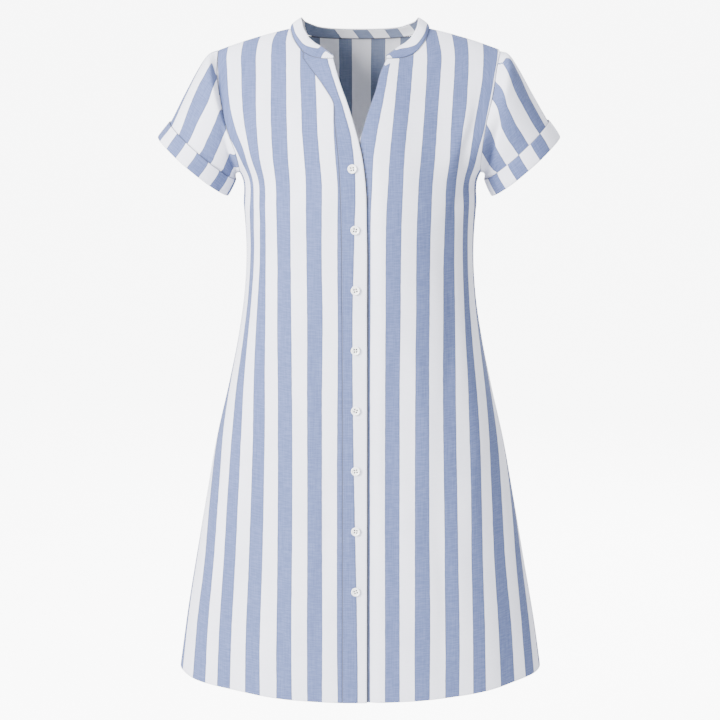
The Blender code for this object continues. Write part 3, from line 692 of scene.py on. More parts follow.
# Where the stripes run. Each row gives, at its height or its share of a sleeve's length, how
# far round the stripes' edges lie, in millimetres: the first is where a blue stripe ends and a
# white one starts.
stripes = {
    "half": 19.3 * millimetre,  # one blue or white stripe
    "beyond": 14,  # how many more are counted on each side of those in a table
    "whiteCorner": 41.0 * millimetre,  # how low the left front's white corner comes
    "foldShade": 3.0 * millimetre,  # how far past the placket's fold its painted shadow goes
    "foldFade": 1.5 * millimetre,
}
frontStripes = {
    right: np.array((
        (0.000, 33.0, 57.0, 74.0, 90.5, 103.0, 121.0, 145.0, 165.0, 184.0, 203.0, 222.0, 242.0),
        (-0.014, 33.0, 57.5, 75.0, 93.3, 110.9, 128.8, 149.5, 168.5, 185.5, 204.8, 224.0, 243.0),
        (-0.030, 33.1, 58.0, 75.3, 92.9, 112.5, 132.0, 152.5, 172.3, 186.2, 205.5, 225.0, 244.0),
        (-0.055, 33.1, 55.8, 75.0, 92.3, 112.2, 131.6, 151.6, 171.0, 184.5, 204.0, 223.0, 242.0),
        (-0.090, 33.1, 53.7, 73.2, 91.9, 111.9, 130.9, 150.6, 167.8, 181.7, 201.0, 220.0, 240.0),
        (-0.125, 32.6, 52.2, 71.9, 91.2, 111.8, 129.5, 148.5, 160.5, 175.1, 194.0, 213.0, 233.0),
        (-0.155, 30.6, 49.7, 69.6, 90.6, 110.9, 128.2, 144.0, 153.5, 164.0, 183.0, 202.0, 221.0),
        (-0.185, 28.0, 47.1, 68.3, 89.6, 109.9, 127.6, 140.8, 156.5, 165.5, 186.0, 206.0, 226.0),
        (-0.225, 28.1, 47.2, 68.0, 89.0, 109.7, 128.4, 140.7, 155.0, 167.0, 188.0, 208.0, 228.0),
        (-0.290, 28.4, 47.6, 67.4, 88.7, 109.3, 129.4, 142.0, 156.8, 169.8, 198.0, 219.0, 238.0),
        (-0.350, 27.9, 46.7, 66.5, 87.6, 108.4, 128.3, 144.2, 160.2, 173.2, 201.0, 222.0, 241.0),
        (-0.405, 28.0, 47.2, 66.5, 87.0, 107.6, 126.6, 144.0, 162.0, 177.0, 205.0, 228.0, 246.0),
        (-0.455, 28.5, 47.9, 66.6, 86.6, 106.5, 124.6, 142.0, 161.4, 179.4, 207.0, 234.0, 250.0),
        (-0.500, 28.9, 48.1, 66.7, 86.4, 106.2, 124.2, 141.2, 159.6, 178.8, 204.0, 235.0, 252.0),
        (-0.550, 29.2, 48.3, 66.9, 86.4, 106.1, 124.9, 142.6, 160.2, 179.9, 200.4, 229.4, 252.0),
        (-0.610, 29.4, 48.5, 67.3, 86.9, 106.8, 126.3, 144.8, 163.1, 183.0, 201.0, 225.5, 250.5),
        (-0.680, 29.6, 48.7, 67.9, 87.9, 108.5, 128.4, 147.6, 167.2, 186.3, 203.6, 224.0, 253.0),
        (-0.780, 29.8, 48.6, 68.7, 89.3, 110.0, 132.0, 152.0, 172.8, 192.2, 211.2, 234.0, 263.0),
        (-0.875, 28.6, 49.3, 68.6, 88.7, 109.8, 132.2, 153.3, 175.7, 195.8, 215.0, 240.0, 269.0),
    )),
    left: np.array((
        (0.000, 28.0, 46.0, 65.0, 80.5, 96.6, 115.0, 134.5, 156.0, 178.0, 198.0, 217.0, 236.0),
        (-0.014, 36.0, 48.0, 66.8, 83.0, 100.0, 118.2, 137.7, 158.3, 180.0, 199.0, 218.0, 237.0),
        (-0.030, 39.0, 48.8, 67.5, 83.9, 102.9, 119.9, 138.7, 158.7, 179.7, 199.0, 218.3, 237.6),
        (-0.055, 35.0, 46.4, 65.3, 83.5, 101.7, 118.9, 137.8, 156.9, 174.0, 193.0, 212.0, 232.0),
        (-0.090, 28.3, 42.8, 61.8, 81.1, 99.4, 116.4, 134.9, 152.5, 166.7, 186.0, 205.0, 224.0),
        (-0.125, 21.2, 39.1, 57.5, 78.2, 96.9, 114.6, 129.5, 147.5, 160.4, 178.0, 197.0, 216.0),
        (-0.155, 16.7, 36.4, 54.6, 75.7, 94.7, 113.4, 128.3, 144.8, 155.5, 173.0, 192.0, 211.0),
        (-0.185, 15.3, 34.6, 53.6, 73.6, 93.0, 112.5, 129.6, 148.0, 163.0, 182.5, 202.0, 221.0),
        (-0.225, 13.6, 32.4, 52.2, 71.8, 91.2, 112.1, 129.5, 146.3, 160.0, 181.0, 201.0, 221.0),
        (-0.290, 13.3, 31.8, 51.3, 71.0, 90.2, 111.0, 130.0, 148.4, 163.0, 186.0, 207.0, 227.0),
        (-0.350, 13.2, 31.8, 51.1, 70.7, 89.5, 109.7, 130.2, 147.8, 162.4, 187.5, 208.5, 228.0),
        (-0.405, 12.9, 31.6, 50.6, 70.0, 88.8, 108.3, 128.4, 146.4, 161.8, 186.2, 208.5, 230.0),
        (-0.455, 12.8, 31.6, 50.3, 69.8, 88.4, 107.6, 126.2, 145.2, 161.4, 184.0, 207.0, 231.0),
        (-0.500, 12.8, 31.7, 50.5, 69.9, 88.2, 107.4, 125.8, 144.9, 161.6, 182.2, 204.4, 232.0),
        (-0.550, 12.8, 31.7, 50.6, 69.9, 88.5, 108.0, 126.4, 145.5, 162.7, 181.2, 203.0, 232.0),
        (-0.610, 12.9, 31.6, 50.7, 70.0, 89.3, 109.3, 127.6, 146.6, 163.8, 181.8, 202.2, 229.4),
        (-0.680, 12.9, 31.8, 50.8, 70.3, 90.0, 110.7, 128.9, 147.6, 164.8, 183.2, 203.0, 226.5),
        (-0.780, 13.0, 32.3, 51.4, 70.7, 91.4, 112.3, 131.4, 150.0, 167.9, 189.0, 211.0, 230.5),
        (-0.875, 13.1, 32.1, 51.7, 71.3, 90.8, 111.9, 130.8, 151.0, 169.4, 193.1, 215.8, 237.0),
    )),
}
backStripes = np.array([(0.0, -52.3, -27.3, -10.6, 14.6, 33.0, 52.5)])
sleeveStripes = {
    right: np.array((
        (0.00, 2.0, 47.6, 48.0, 90.0, 116.0, 150.0, 175.0, 235.0),
        (0.04, 3.0, 45.0, 52.4, 93.5, 119.4, 153.0, 178.0, 240.0),
        (0.08, 4.0, 37.0, 57.7, 96.1, 122.6, 155.2, 181.0, 245.0),
        (0.12, 5.0, 30.5, 63.2, 98.8, 125.8, 157.2, 183.6, 248.0),
        (0.16, 6.0, 34.5, 68.0, 101.5, 129.0, 158.8, 185.4, 250.0),
        (0.20, 8.0, 38.5, 71.5, 103.9, 131.7, 159.9, 186.2, 250.0),
        (0.30, 12.0, 43.2, 76.9, 106.1, 131.9, 160.0, 185.0, 246.0),
        (0.42, 16.0, 43.2, 77.4, 103.9, 127.9, 153.3, 176.5, 236.0),
        (0.56, 20.0, 44.9, 73.5, 98.3, 119.7, 142.7, 164.0, 218.0),
        (0.70, 23.0, 47.4, 69.7, 91.7, 110.9, 131.5, 151.0, 198.0),
        (0.80, 25.0, 48.3, 67.0, 87.4, 106.1, 125.0, 144.0, 184.0),
        (1.00, 25.0, 48.3, 67.0, 87.4, 106.1, 125.0, 144.0, 184.0),
    )),
    left: np.array((
        (0.00, -5.0, 29.6, 30.0, 55.6, 81.4, 114.4, 150.6, 215.0),
        (0.05, -4.0, 29.8, 30.3, 61.2, 86.8, 119.9, 157.2, 223.0),
        (0.10, -3.0, 29.0, 31.5, 66.9, 93.0, 126.3, 164.7, 232.0),
        (0.13, -2.0, 22.5, 37.7, 70.4, 97.5, 130.3, 169.0, 238.0),
        (0.16, 0.0, 21.2, 42.8, 74.2, 102.2, 134.4, 172.4, 243.0),
        (0.20, 2.0, 21.0, 48.6, 78.6, 108.1, 138.1, 174.8, 246.0),
        (0.30, 4.0, 22.5, 55.6, 85.6, 114.2, 140.4, 174.0, 245.0),
        (0.42, 6.0, 25.7, 58.5, 85.1, 110.9, 135.3, 165.5, 233.0),
        (0.56, 9.0, 31.1, 55.9, 81.0, 103.2, 124.5, 150.9, 212.0),
        (0.70, 11.0, 30.6, 52.7, 74.6, 94.1, 114.7, 137.4, 190.0),
        (0.80, 12.0, 30.0, 49.3, 71.5, 90.1, 110.1, 129.0, 178.0),
        (1.00, 12.0, 30.0, 49.3, 71.5, 90.1, 110.1, 129.0, 178.0),
    )),
}
cuffStripes = {
    right: np.array([(0.0, 28.0, 46.3, 65.6, 83.8, 102.3, 120.5, 139.0, 159.0)]),
    left: np.array([(0.0, -15.0, 4.0, 49.5, 70.0, 89.0, 108.0, 127.0, 150.0)]),
}
# the collar's facing, from the middle of its top edge; its blue from -81 to -33 mm spans about two
# and a half stripes, painted shade for the dark stretch inside the neck
facingStripes = np.array([(0.0, -100.0, -81.0, -33.0, -10.5, 9.5, 31.0, 49.0, 68.0)])
# the placket's white, from its fold
placketStripes = np.array((
    (-0.035, -12.8, 6.5, 46.0),
    (-0.100, -12.1, 7.2, 46.0),
    (-0.130, -11.7, 7.6, 46.0),
    (-0.155, -9.1, 10.2, 46.0),
    (-0.175, -7.8, 11.5, 46.0),
    (-0.870, -7.7, 11.6, 46.0),
))


def counted(table, at, run):
    # the stripes' own coordinate: half a period from each edge to the next, evenly between them
    # and on beyond them
    if len(table) > 1:
        edges = [through(table[:, 0], column * millimetre, at) for column in table.T[1:]]
    else:
        edges = [column * millimetre + 0 * at for column in table[0, 1:]]
    more = stripes["beyond"]
    steps = stripes["half"] * np.arange(1, more + 1)
    before, after = [edges[0] - step for step in steps[::-1]], [edges[-1] + step for step in steps]
    edges = np.stack(before + edges + after, axis=-1)
    k = np.clip(np.sum(edges <= run[..., None], axis=-1) - 1, 0, edges.shape[-1] - 2)[..., None]
    low, high = [np.take_along_axis(edges, k + step, -1)[..., 0] for step in (0, 1)]
    return (k[..., 0] - more + (run - low) / (high - low)) * stripes["half"]


ovals = {"levels": 176, "turns": 241, "lowest": -0.875}  # the fine table of ovals


def acrossBody(face, x, z):
    # length round the level's oval from the middle out to x, read from a fine table of ovals
    levels, turns = ovals["levels"], ovals["turns"]
    heights = np.linspace(0, ovals["lowest"], levels)[:, None]
    turn = np.linspace(0, math.pi / 2, turns)
    square = atHeight(level, face + "Square", heights)
    xs = atHeight(level, "halfWidth", heights) * np.sin(turn) ** (2 / square)
    ys = atHeight(level, face, heights) * np.cos(turn) ** (2 / square)
    run = lengths(np.stack([xs, ys], axis=-1), axis=1)
    share = np.clip(np.abs(x) / atHeight(level, "halfWidth", z), 0, 1)
    turned = np.arcsin(share ** (atHeight(level, face + "Square", z) / 2))
    column = turned / (math.pi / 2) * (turns - 1)
    row = np.clip(z / ovals["lowest"], 0, 1) * (levels - 1)
    i = np.minimum(row.astype(int), levels - 2)
    j = np.minimum(column.astype(int), turns - 2)
    s, t = row - i, column - j
    near = (1 - t) * run[i, j] + t * run[i, j + 1]
    far = (1 - t) * run[i + 1, j] + t * run[i + 1, j + 1]
    return np.sign(x) * ((1 - s) * near + s * far)


def downRows(points):
    # length down each column, counted up from the last row
    down = lengths(points)
    return down[-1:] - down


def frontCloth(side, points):
    # across from the middle of the front, and along it, counted up from the hem
    x, z = points[..., 0], points[..., 2]
    across = side * acrossBody("front", x, z)
    stripe = counted(frontStripes[side], z, across)
    shade = 0 * x
    if side == left:
        # its top corner shows the white of the turned-in edge
        corner = (stripe < 0) & (z > -stripes["whiteCorner"])
        stripe = np.where(corner, stripe + stripes["half"], stripe)
        # and close beside the placket's fold it is painted dark: a painted shadow of the fold
        past = x - atHeight(strip, "fold", z)
        shade = ease((stripes["foldShade"] - past) / stripes["foldFade"])
    return np.stack([across, downRows(points), stripe, stripe, shade], axis=-1)


def backCloth(points):
    # as the front's, without a painted shadow
    x, z = points[..., 0], points[..., 2]
    across = acrossBody("back", x, z)
    stripe = counted(backStripes, z, across)
    return np.stack([across, downRows(points), stripe, stripe], axis=-1)


def placketCloth(points):
    # across from the fold, straightened by its lean, and down from its top
    height = points[:, -1, 2]
    slope = np.gradient(atHeight(strip, "fold", height), height)
    run = lengths(points, axis=1)
    across = (run[:, -1:] - run) / np.sqrt(1 + slope**2)[:, None]
    stripe = counted(placketStripes, points[..., 2], across)
    return np.stack([across, downRows(points), stripe, stripe], axis=-1)


def collarCloth(points):
    # the face lies lengthwise, white above and blue below, with white again at its turned-in
    # ends; its facing is cut on the bias
    run, down = lengths(points, axis=1), downRows(points)
    middle = run[:, run.shape[1] // 2, None]
    x, before = points[..., 0], points[..., 1] < 0
    out = np.abs(x)
    ends = ease((collar["endsFrom"] - out) / collar["endsBlend"]) * before
    reach = np.where(x < 0, tipReach[right], tipReach[left])
    tips = ease((reach - out) / collar["tipBlend"]) * before
    face = down + collar["whiteTop"] + collar["blueEnds"] * ends + stripes["half"] * tips
    facing = counted(facingStripes, down, run - middle - collar["bias"] * down)
    return np.stack([run, down, face, facing], axis=-1)


def sleeveCloth(side, points, top):
    # round from the line that the shoulder seam runs on into, towards the front, and down from
    # the armhole; and the cuff's stripes by themselves
    run, down = lengths(points, axis=1), downRows(points)
    run = run - run[:, top : top + 1]
    share = np.linspace(0, 1, len(points))[:, None] + 0 * run
    stripe = counted(sleeveStripes[side], share, run)
    return np.stack([run, down, stripe, stripe], axis=-1), counted(cuffStripes[side], down, run)


# surfaces

frontRight = frontSurface(right, bandLine(right, bandShoulder, bandPlacket), strip, "seam")
leftNeck = bandLine(left, bandShoulder, 0)
frontLeft = frontSurface(left, leftNeck, leftEdge, "x", placket["dipSteps"])
backWhole = backSurface()
middleColumn = (backWhole.shape[1] - 1) // 2
sleeves = {
    right: sleeveSurface(right, frontRight, backWhole[:, middleColumn::-1]),
    left: sleeveSurface(left, frontLeft, backWhole[:, middleColumn:]),
}
placketPoints = placketSurface(frontRight)
collarPoints = bandSurface()
print("surfaces worked out")


# finishes

def fill(tree, node, values):
    # each named input: a link where its value is another node's socket, or else its own value
    for name, value in values.items():
        if isinstance(value, bpy.types.NodeSocket):
            tree.links.new(value, node.inputs[name])
        else:
            node.inputs[name].default_value = value
    return node


def addNode(tree, kind, values=None, **settings):
    # a node with its settings and its inputs
    made = tree.nodes.new(kind)
    for name, value in settings.items():
        setattr(made, name, value)
    return fill(tree, made, values or {})


def calc(tree, operation, *values):
    # one step of arithmetic
    inputs = dict(enumerate(values))
    return addNode(tree, "ShaderNodeMath", inputs, operation=operation).outputs[0]


def times(tree, first, second):
    # the one multiplied by the other
    return calc(tree, "MULTIPLY", first, second)


def less(tree, first, second):
    # the second taken from the first
    return calc(tree, "SUBTRACT", first, second)


def blended(tree, share, first, second):
    # from the first colour to the second
    inputs = {"Factor": share, "A": first, "B": second}
    return addNode(tree, "ShaderNodeMix", inputs, data_type="RGBA").outputs["Result"]


def stepped(tree, value, low, high):
    # 0 below low and 1 above high, smooth between
    inputs = {"Value": value, "From Min": low, "From Max": high}
    made = addNode(tree, "ShaderNodeMapRange", inputs, interpolation_type="SMOOTHSTEP")
    return made.outputs["Result"]


def bumped(tree, height, strength, distance):
    # the way out of a surface that has this height
    inputs = {"Height": height, "Strength": strength, "Distance": distance}
    return addNode(tree, "ShaderNodeBump", inputs).outputs["Normal"]


def grain(tree, across, along, perAcross, perAlong, detail):
    # noise that is stretched one way, as threads are
    sizes = {"X": times(tree, across, perAcross), "Y": times(tree, along, perAlong)}
    place = addNode(tree, "ShaderNodeCombineXYZ", sizes).outputs[0]
    inputs = {"Vector": place, "Scale": 1, "Detail": detail, "Roughness": weave["noiseRough"]}
    return addNode(tree, "ShaderNodeTexNoise", inputs).outputs["Fac"]


def newGroup(name, inputs, outputs):
    # an empty group; a first value that is a colour makes a colour's socket
    group = bpy.data.node_groups.new(name, "ShaderNodeTree")
    for way, sockets in (("INPUT", inputs), ("OUTPUT", outputs)):
        for title, value in sockets.items():
            kind = "NodeSocketColor" if isinstance(value, tuple) else "NodeSocketFloat"
            socket = group.interface.new_socket(title, in_out=way, socket_type=kind)
            socket.default_value = value
    return group, group.nodes.new("NodeGroupInput").outputs, group.nodes.new("NodeGroupOutput")


weave = {
    "thread": 0.55 * millimetre,  # from one thread to the next
    "slub": (70.0, 620.0, 2),  # how fine across and along, and its detail: slubs lie across
    "warp": (900.0, 26.0, 2),
    "patch": (14.0, 9.0, 1),
    "drift": (20.0, 60.0, 3),  # the wavering of a stripe's edge
    "edgeWaver": 0.45 * millimetre,
    "heights": (1.3, 0.5, 0.28),  # how much slub, warp and crossing threads stand up
    "slubRange": (0.38, 0.66),  # from where to where each comes to show in the colour
    "warpRange": (0.36, 0.66),
    "patchRange": (0.35, 0.75),
    "fleck": (0.55, 0.45),  # the parts of slub and warp in the uneven dye
    "edgeBlur": 0.25 * millimetre,
    "rimAt": 0.5 * millimetre,  # a darker line just inside the blue's edge
    "rimRange": (0.1 * millimetre, 0.75 * millimetre),
    "rimShare": 0.55,
    "whiteFleck": 0.35,
    "whitePatch": 0.5,
    "noiseRough": 0.6,
    "bump": (0.5, 0.35 * millimetre),  # its strength and depth
}


def weaveGroup():
    # plain-woven cloth: warp and weft threads over and under, with slubs and uneven dye
    outputs = dict.fromkeys(("Slub", "Warp", "Patch", "Height"), 0.0)
    group, given, out = newGroup("plainWeave", {"Across": 0.0, "Along": 0.0}, outputs)
    across, along = given["Across"], given["Along"]
    slub, warp, patch = [
        grain(group, across, along, *weave[name]) for name in ("slub", "warp", "patch")
    ]
    turn = 2 * math.pi / weave["thread"]
    over, under = [calc(group, "SINE", times(group, way, turn)) for way in (across, along)]
    slubHeight, warpHeight, crossing = weave["heights"]
    crossed = times(group, times(group, over, under), crossing)
    height = calc(group, "MULTIPLY_ADD", slub, slubHeight, crossed)
    height = calc(group, "MULTIPLY_ADD", warp, warpHeight, height)
    fill(group, out, {"Slub": slub, "Warp": warp, "Patch": patch, "Height": height})
    return group


def stripeGroup():
    # blue where the place in the period is in its second half, white in its first; the edge is
    # a little uneven, with the darker line of its last blue threads
    black = (0, 0, 0, 1)
    numbers = {"Across": 0.0, "Along": 0.0, "Stripe": 0.0, "Period": 2 * stripes["half"]}
    colours = dict.fromkeys(("Blue", "Pale blue", "White", "Shade", "Line"), black)
    outputs = {"Color": black, "Height": 0.0}
    group, given, out = newGroup("wovenStripes", numbers | colours, outputs)
    across, along, period = given["Across"], given["Along"], given["Period"]
    inputs = {"Across": across, "Along": along}
    woven = addNode(group, "ShaderNodeGroup", inputs, node_tree=weaveGroup()).outputs
    drift = less(group, grain(group, across, along, *weave["drift"]), 0.5)
    moved = calc(group, "MULTIPLY_ADD", drift, weave["edgeWaver"] * 2, given["Stripe"])
    place = calc(group, "FRACT", calc(group, "DIVIDE", moved, period))
    # a white stripe starts at 0 and ends at 0.5: how far from the nearest edge, blue's side up
    fromMiddle = calc(group, "ABSOLUTE", less(group, place, 0.5))
    nearest = calc(group, "MINIMUM", fromMiddle, less(group, 0.5, fromMiddle))
    side = calc(group, "MULTIPLY_ADD", calc(group, "GREATER_THAN", place, 0.5), 2.0, -1.0)
    signed = times(group, times(group, nearest, period), side)
    blue = stepped(group, signed, -weave["edgeBlur"], weave["edgeBlur"])
    offLine = calc(group, "ABSOLUTE", less(group, signed, weave["rimAt"]))
    rim = less(group, 1.0, stepped(group, offLine, *weave["rimRange"]))
    slub = stepped(group, woven["Slub"], *weave["slubRange"])
    warp = stepped(group, woven["Warp"], *weave["warpRange"])
    slubPart, warpPart = weave["fleck"]
    fleck = calc(group, "MULTIPLY_ADD", slub, slubPart, times(group, warp, warpPart))
    blueCloth = blended(group, fleck, given["Blue"], given["Pale blue"])
    rimmed = blended(group, times(group, rim, weave["rimShare"]), blueCloth, given["Line"])
    patch = stepped(group, woven["Patch"], *weave["patchRange"])
    shaded = times(group, patch, weave["whitePatch"])
    dull = calc(group, "MULTIPLY_ADD", fleck, weave["whiteFleck"], shaded)
    whiteCloth = blended(group, dull, given["White"], given["Shade"])
    colour = blended(group, blue, whiteCloth, rimmed)
    fill(group, out, {"Color": colour, "Height": woven["Height"]})
    return group


clothColours = {
    "Blue": (0.080, 0.106, 0.228, 1),
    "Pale blue": (0.122, 0.157, 0.318, 1),
    "Line": (0.050, 0.062, 0.130, 1),
    "White": (0.800, 0.808, 0.910, 1),
    "Shade": (0.690, 0.702, 0.815, 1),
}
# the reverse's dye is greyer and paler than the face's: partly the cloth's duller reverse, partly
# painted light that lifts the inside, in the shade of the dress's own hollow
reverseLitColours = {
    "Blue": (0.140, 0.172, 0.270, 1),
    "Pale blue": (0.180, 0.215, 0.320, 1),
    "Line": (0.080, 0.095, 0.150, 1),
    "White": (0.820, 0.825, 0.880, 1),
    "Shade": (0.740, 0.745, 0.800, 1),
}
clothFinish = {
    "Roughness": 0.88,
    "Specular IOR Level": 0.22,
    "Sheen Weight": 0.06,
    "Sheen Roughness": 0.45,
}
# painted shade: a dark tone that the cloth's colour is mixed towards at sewn edges and beside the
# placket's fold
seamShadeTone = (0.085, 0.088, 0.105, 1)
seamShade = 0.82  # how far cloth is painted darker towards that tone right at a sewn edge: painted shade
seamRange = (0.25, 0.95)  # and the shares of its roll between which it does
stripeTree = stripeGroup()


def uvChannel(tree, title, axis):
    # one axis of a UV map
    place = addNode(tree, "ShaderNodeUVMap", uv_map=title).outputs[0]
    return addNode(tree, "ShaderNodeSeparateXYZ", {0: place}).outputs[axis]


def newMaterial(name):
    # a material with its node tree and its main shader
    material = bpy.data.materials.new(name)
    material.use_nodes = True
    tree = material.node_tree
    return material, tree, tree.nodes["Principled BSDF"]


def clothMaterial(name, reverse=False, shift=0.0):
    # the striped cloth; its stripes can start later by shift
    material, tree, shader = newMaterial(name)
    stripe = less(tree, uvChannel(tree, "reverse" if reverse else "stripe", "X"), shift)
    across, along = uvChannel(tree, "cloth", "X"), uvChannel(tree, "cloth", "Y")
    inputs = {"Across": across, "Along": along, "Stripe": stripe}
    inputs |= reverseLitColours if reverse else clothColours
    made = addNode(tree, "ShaderNodeGroup", inputs, node_tree=stripeTree)
    # painted shade: cloth is painted darker where a seam pulls it in and beside the placket's fold
    paintedShade = stepped(tree, uvChannel(tree, "stripe", "Y"), *seamRange)
    toned = blended(tree, times(tree, paintedShade, seamShade), made.outputs["Color"], seamShadeTone)
    bump = bumped(tree, made.outputs["Height"], *weave["bump"])
    fill(tree, shader, clothFinish | {"Base Color": toned, "Normal": bump})
    return material


plainFinish = {"tones": (0.90, 1.05), "detail": 3, "bump": 0.4}


def plainMaterial(name, colour, rough, bumpScale=0.0, bumpDepth=0.0, coat=0.0):
    # one colour with a little uneven tone and a fine grain
    material, tree, shader = newMaterial(name)
    place = addNode(tree, "ShaderNodeTexCoord").outputs["Object"]
    inputs = {"Vector": place, "Scale": bumpScale, "Detail": plainFinish["detail"]}
    noise = addNode(tree, "ShaderNodeTexNoise", inputs).outputs["Fac"]
    tones = np.outer(plainFinish["tones"], colour).clip(0, 1)
    dark, light = [(*tone, 1) for tone in tones.tolist()]
    fill(tree, shader, {
        "Base Color": blended(tree, noise, dark, light),
        "Normal": bumped(tree, noise, plainFinish["bump"], bumpDepth),
        "Roughness": rough,
        "Coat Weight": coat,
    })
    return material


def dress(piece, node, face, reverse):
    # everything a piece of cloth is told: its faces, its body and its node
    piece.data.materials.append(face)
    piece.data.materials.append(reverse)
    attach(piece, "root")
    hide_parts(node)
    return piece


# the pieces of cloth
allFaces = clothMaterial("striped_cloth_face")
allReverse = clothMaterial("striped_cloth_reverse", reverse=True)
tubeEdges = {"top": seam["roll"], "bottom": seam["edgeRoll"]}
bodyEdges = tubeEdges | {"first": seam["roll"], "last": seam["roll"]}
stripEdges = bodyEdges | {"last": seam["edgeRoll"]}
bandEdges = stripEdges | {"first": seam["edgeRoll"]}

flatPieces = (
    ("front_right", draped(frontRight), frontCloth(right, frontRight), bodyEdges, body),
    ("front_left", draped(sunk(frontLeft)), frontCloth(left, frontLeft), bodyEdges, body),
    ("back", draped(backWhole), backCloth(backWhole), bodyEdges, body),
    ("placket", draped(placketPoints), placketCloth(placketPoints), stripEdges, placket),
    ("collar_band", draped(collarPoints), collarCloth(collarPoints), bandEdges, collar),
)
for node, points, cloth, edges, measures in flatPieces:
    middle = neckMiddle if node == "collar_band" else bodyMiddle
    piece = clothPiece(f"{node}_cloth", points, cloth, edges, measures["wall"], centre=middle)
    dress(piece, node, allFaces, allReverse)
print("body, placket and collar made")

cuffFace = {
    right: clothMaterial("cuff_right_face"),
    left: clothMaterial("cuff_left_face", shift=stripes["half"]),
}
for side, word in ((right, "right"), (left, "left")):
    # the tube starts and ends on the seam under the arm
    tube = sleeves[side]
    under = grid["frontRows"] * fine
    tube = np.concatenate([tube[:, under:-1], tube[:, : under + 1]], axis=1)
    middle = tube.mean(axis=(0, 1))
    cloth, turned = sleeveCloth(side, tube, tube.shape[1] - 1 - under)
    tube = draped(tube)
    piece = clothPiece(f"sleeve_{word}_cloth", tube, cloth, tubeEdges, sleeve["wall"], True, middle)
    dress(piece, f"sleeve_{word}", allFaces, allReverse)
    # the cuff's rows of it stand off by the cuff's wall, fuller in the middle and a little uneven
    first = cuffTop * sleeve["rows"]
    tube, cloth = tube[first:], cloth[first:].copy()
    cloth[..., 2] = turned[first:]
    share = np.linspace(0, 1, len(tube))[:, None, None]
    around = np.linspace(0, 2 * math.pi, tube.shape[1])[:, None]
    wave = cuff["wave"] * np.sin(cuff["waves"] * around + cuff["slant"] * share) * share
    rise = cuff["lift"] + cuff["wall"] + cuff["puff"] * np.sin(math.pi * share) + wave
    tube = tube + normalsOf(tube, True, middle) * rise
    piece = clothPiece(f"cuff_{word}_cloth", tube, cloth, tubeEdges, cuff["wall"], True, middle)
    dress(piece, f"cuff_{word}", cuffFace[side], allReverse)
print("sleeves and cuffs made")


# buttons

buttons = {
    "count": 8,
    "first": -0.1680,
    "space": 0.0742,
    "ease": 0.00046,  # half of what each space is more than the one above it
    "inset": 0.0145,
    "radius": 5.75 * millimetre,
    "thick": 2.2 * millimetre,
    "holeRing": 2.1 * millimetre,
    "hole": 1.05 * millimetre,
    "holeDepth": 0.52,  # as shares of the thickness and of the hole's radius
    "holeRim": (0.92, 1.08),
    "thread": 1.0 * millimetre,
    "threadRise": (0.10, 0.60),  # as shares of the thickness
    "threadSides": 8,
    "lift": 0.9 * millimetre,
    "shank": (-1.0 * millimetre, 0.2 * millimetre),
    "shankRadius": 0.9 * millimetre,
    "shankSides": 10,
    "sides": 72,
}
turnOf = (8, -11, 16, 4, -19, 10, -6, 21)  # how each button lies turned, in degrees
# its profile as shares of its radius and its thickness: a dished face inside a round rim
buttonFace = columns(
    "out high",
    (0.00, 0.66),
    (0.60, 0.68),
    (0.70, 0.78),
    (0.80, 0.97),
    (0.90, 1.00),
    (0.97, 0.86),
    (1.00, 0.62),
)
buttonBack = columns("out high", (0.985, 0.34), (0.94, 0.14), (0.86, 0.02), (0.5, 0.0), (0.02, 0.0))
faceRings = np.linspace(0.02, 0.56, 28)
rimRings = (0.58, 0.66, 0.70, 0.74, 0.79, 0.84, 0.89, 0.94, 0.98, 1.0)


def holePlaces():
    # the middles of the four holes, evenly round the button's
    quarter = math.pi / 4 + np.arange(4) * math.pi / 2
    return buttons["holeRing"] * np.stack([np.cos(quarter), np.sin(quarter)], axis=1)


def buttonShape():
    # the profile turned about the middle, with four deep round wells let into its face
    out = np.concatenate([faceRings, rimRings])
    high = np.interp(out, buttonFace["out"], buttonFace["high"])
    wide = np.concatenate([out, buttonBack["out"]]) * buttons["radius"]
    high = np.concatenate([high, buttonBack["high"]]) * buttons["thick"]
    sides = buttons["sides"]
    turn = np.linspace(0, 2 * math.pi, sides, endpoint=False)
    flat = wide[:, None, None] * np.stack([np.cos(turn), np.sin(turn)], axis=1)
    near = np.min(np.linalg.norm(flat[..., None, :] - holePlaces(), axis=-1), axis=-1)
    inner, outer = buttons["holeRim"]
    well = 1 - ease((near / buttons["hole"] - inner) / (outer - inner))
    well[len(out) :] = 0
    z = high[:, None] - well * buttons["thick"] * buttons["holeDepth"]
    points = np.concatenate([flat, z[..., None]], axis=-1).reshape(-1, 3)
    i, j = gridCorners(len(wide), sides + 1)
    faces = (i * sides + j % sides)[:, (0, 3, 2, 1)].tolist()
    # and one point each closes the middle of the face and of the back
    around = np.arange(sides)
    after = (around + 1) % sides
    last = (len(wide) - 1) * sides
    tip, foot = around * 0 + len(points), around * 0 + len(points) + 1
    faces += np.stack([around, after, tip], axis=1).tolist()
    faces += np.stack([last + after, last + around, foot], axis=1).tolist()
    return np.concatenate([points, [(0, 0, z[0].mean()), (0, 0, 0)]]), faces


def threads(centres, sideways, upward, sizes, sides):
    # round threads about their middle lines: a ring of points at each, and both ends closed
    turn = np.linspace(0, 2 * math.pi, sides, endpoint=False)[:, None]
    ring = np.cos(turn) * sideways[..., None, :] + np.sin(turn) * upward[..., None, :]
    points = centres[..., None, :] + ring * sizes[:, None, None]
    count, rings = centres.shape[:2]
    i, j = gridCorners(rings, sides + 1)
    first = np.arange(count)[:, None] * rings * sides
    faces = (first[..., None] + i * sides + j % sides).reshape(-1, 4).tolist()
    around = np.arange(sides)
    faces += (first + around[::-1]).tolist() + (first + (rings - 1) * sides + around).tolist()
    return points.reshape(-1, 3), faces


threadEnd = {"rings": 4, "drawn": 0.97, "power": 8, "least": 0.02}  # how its ends draw in


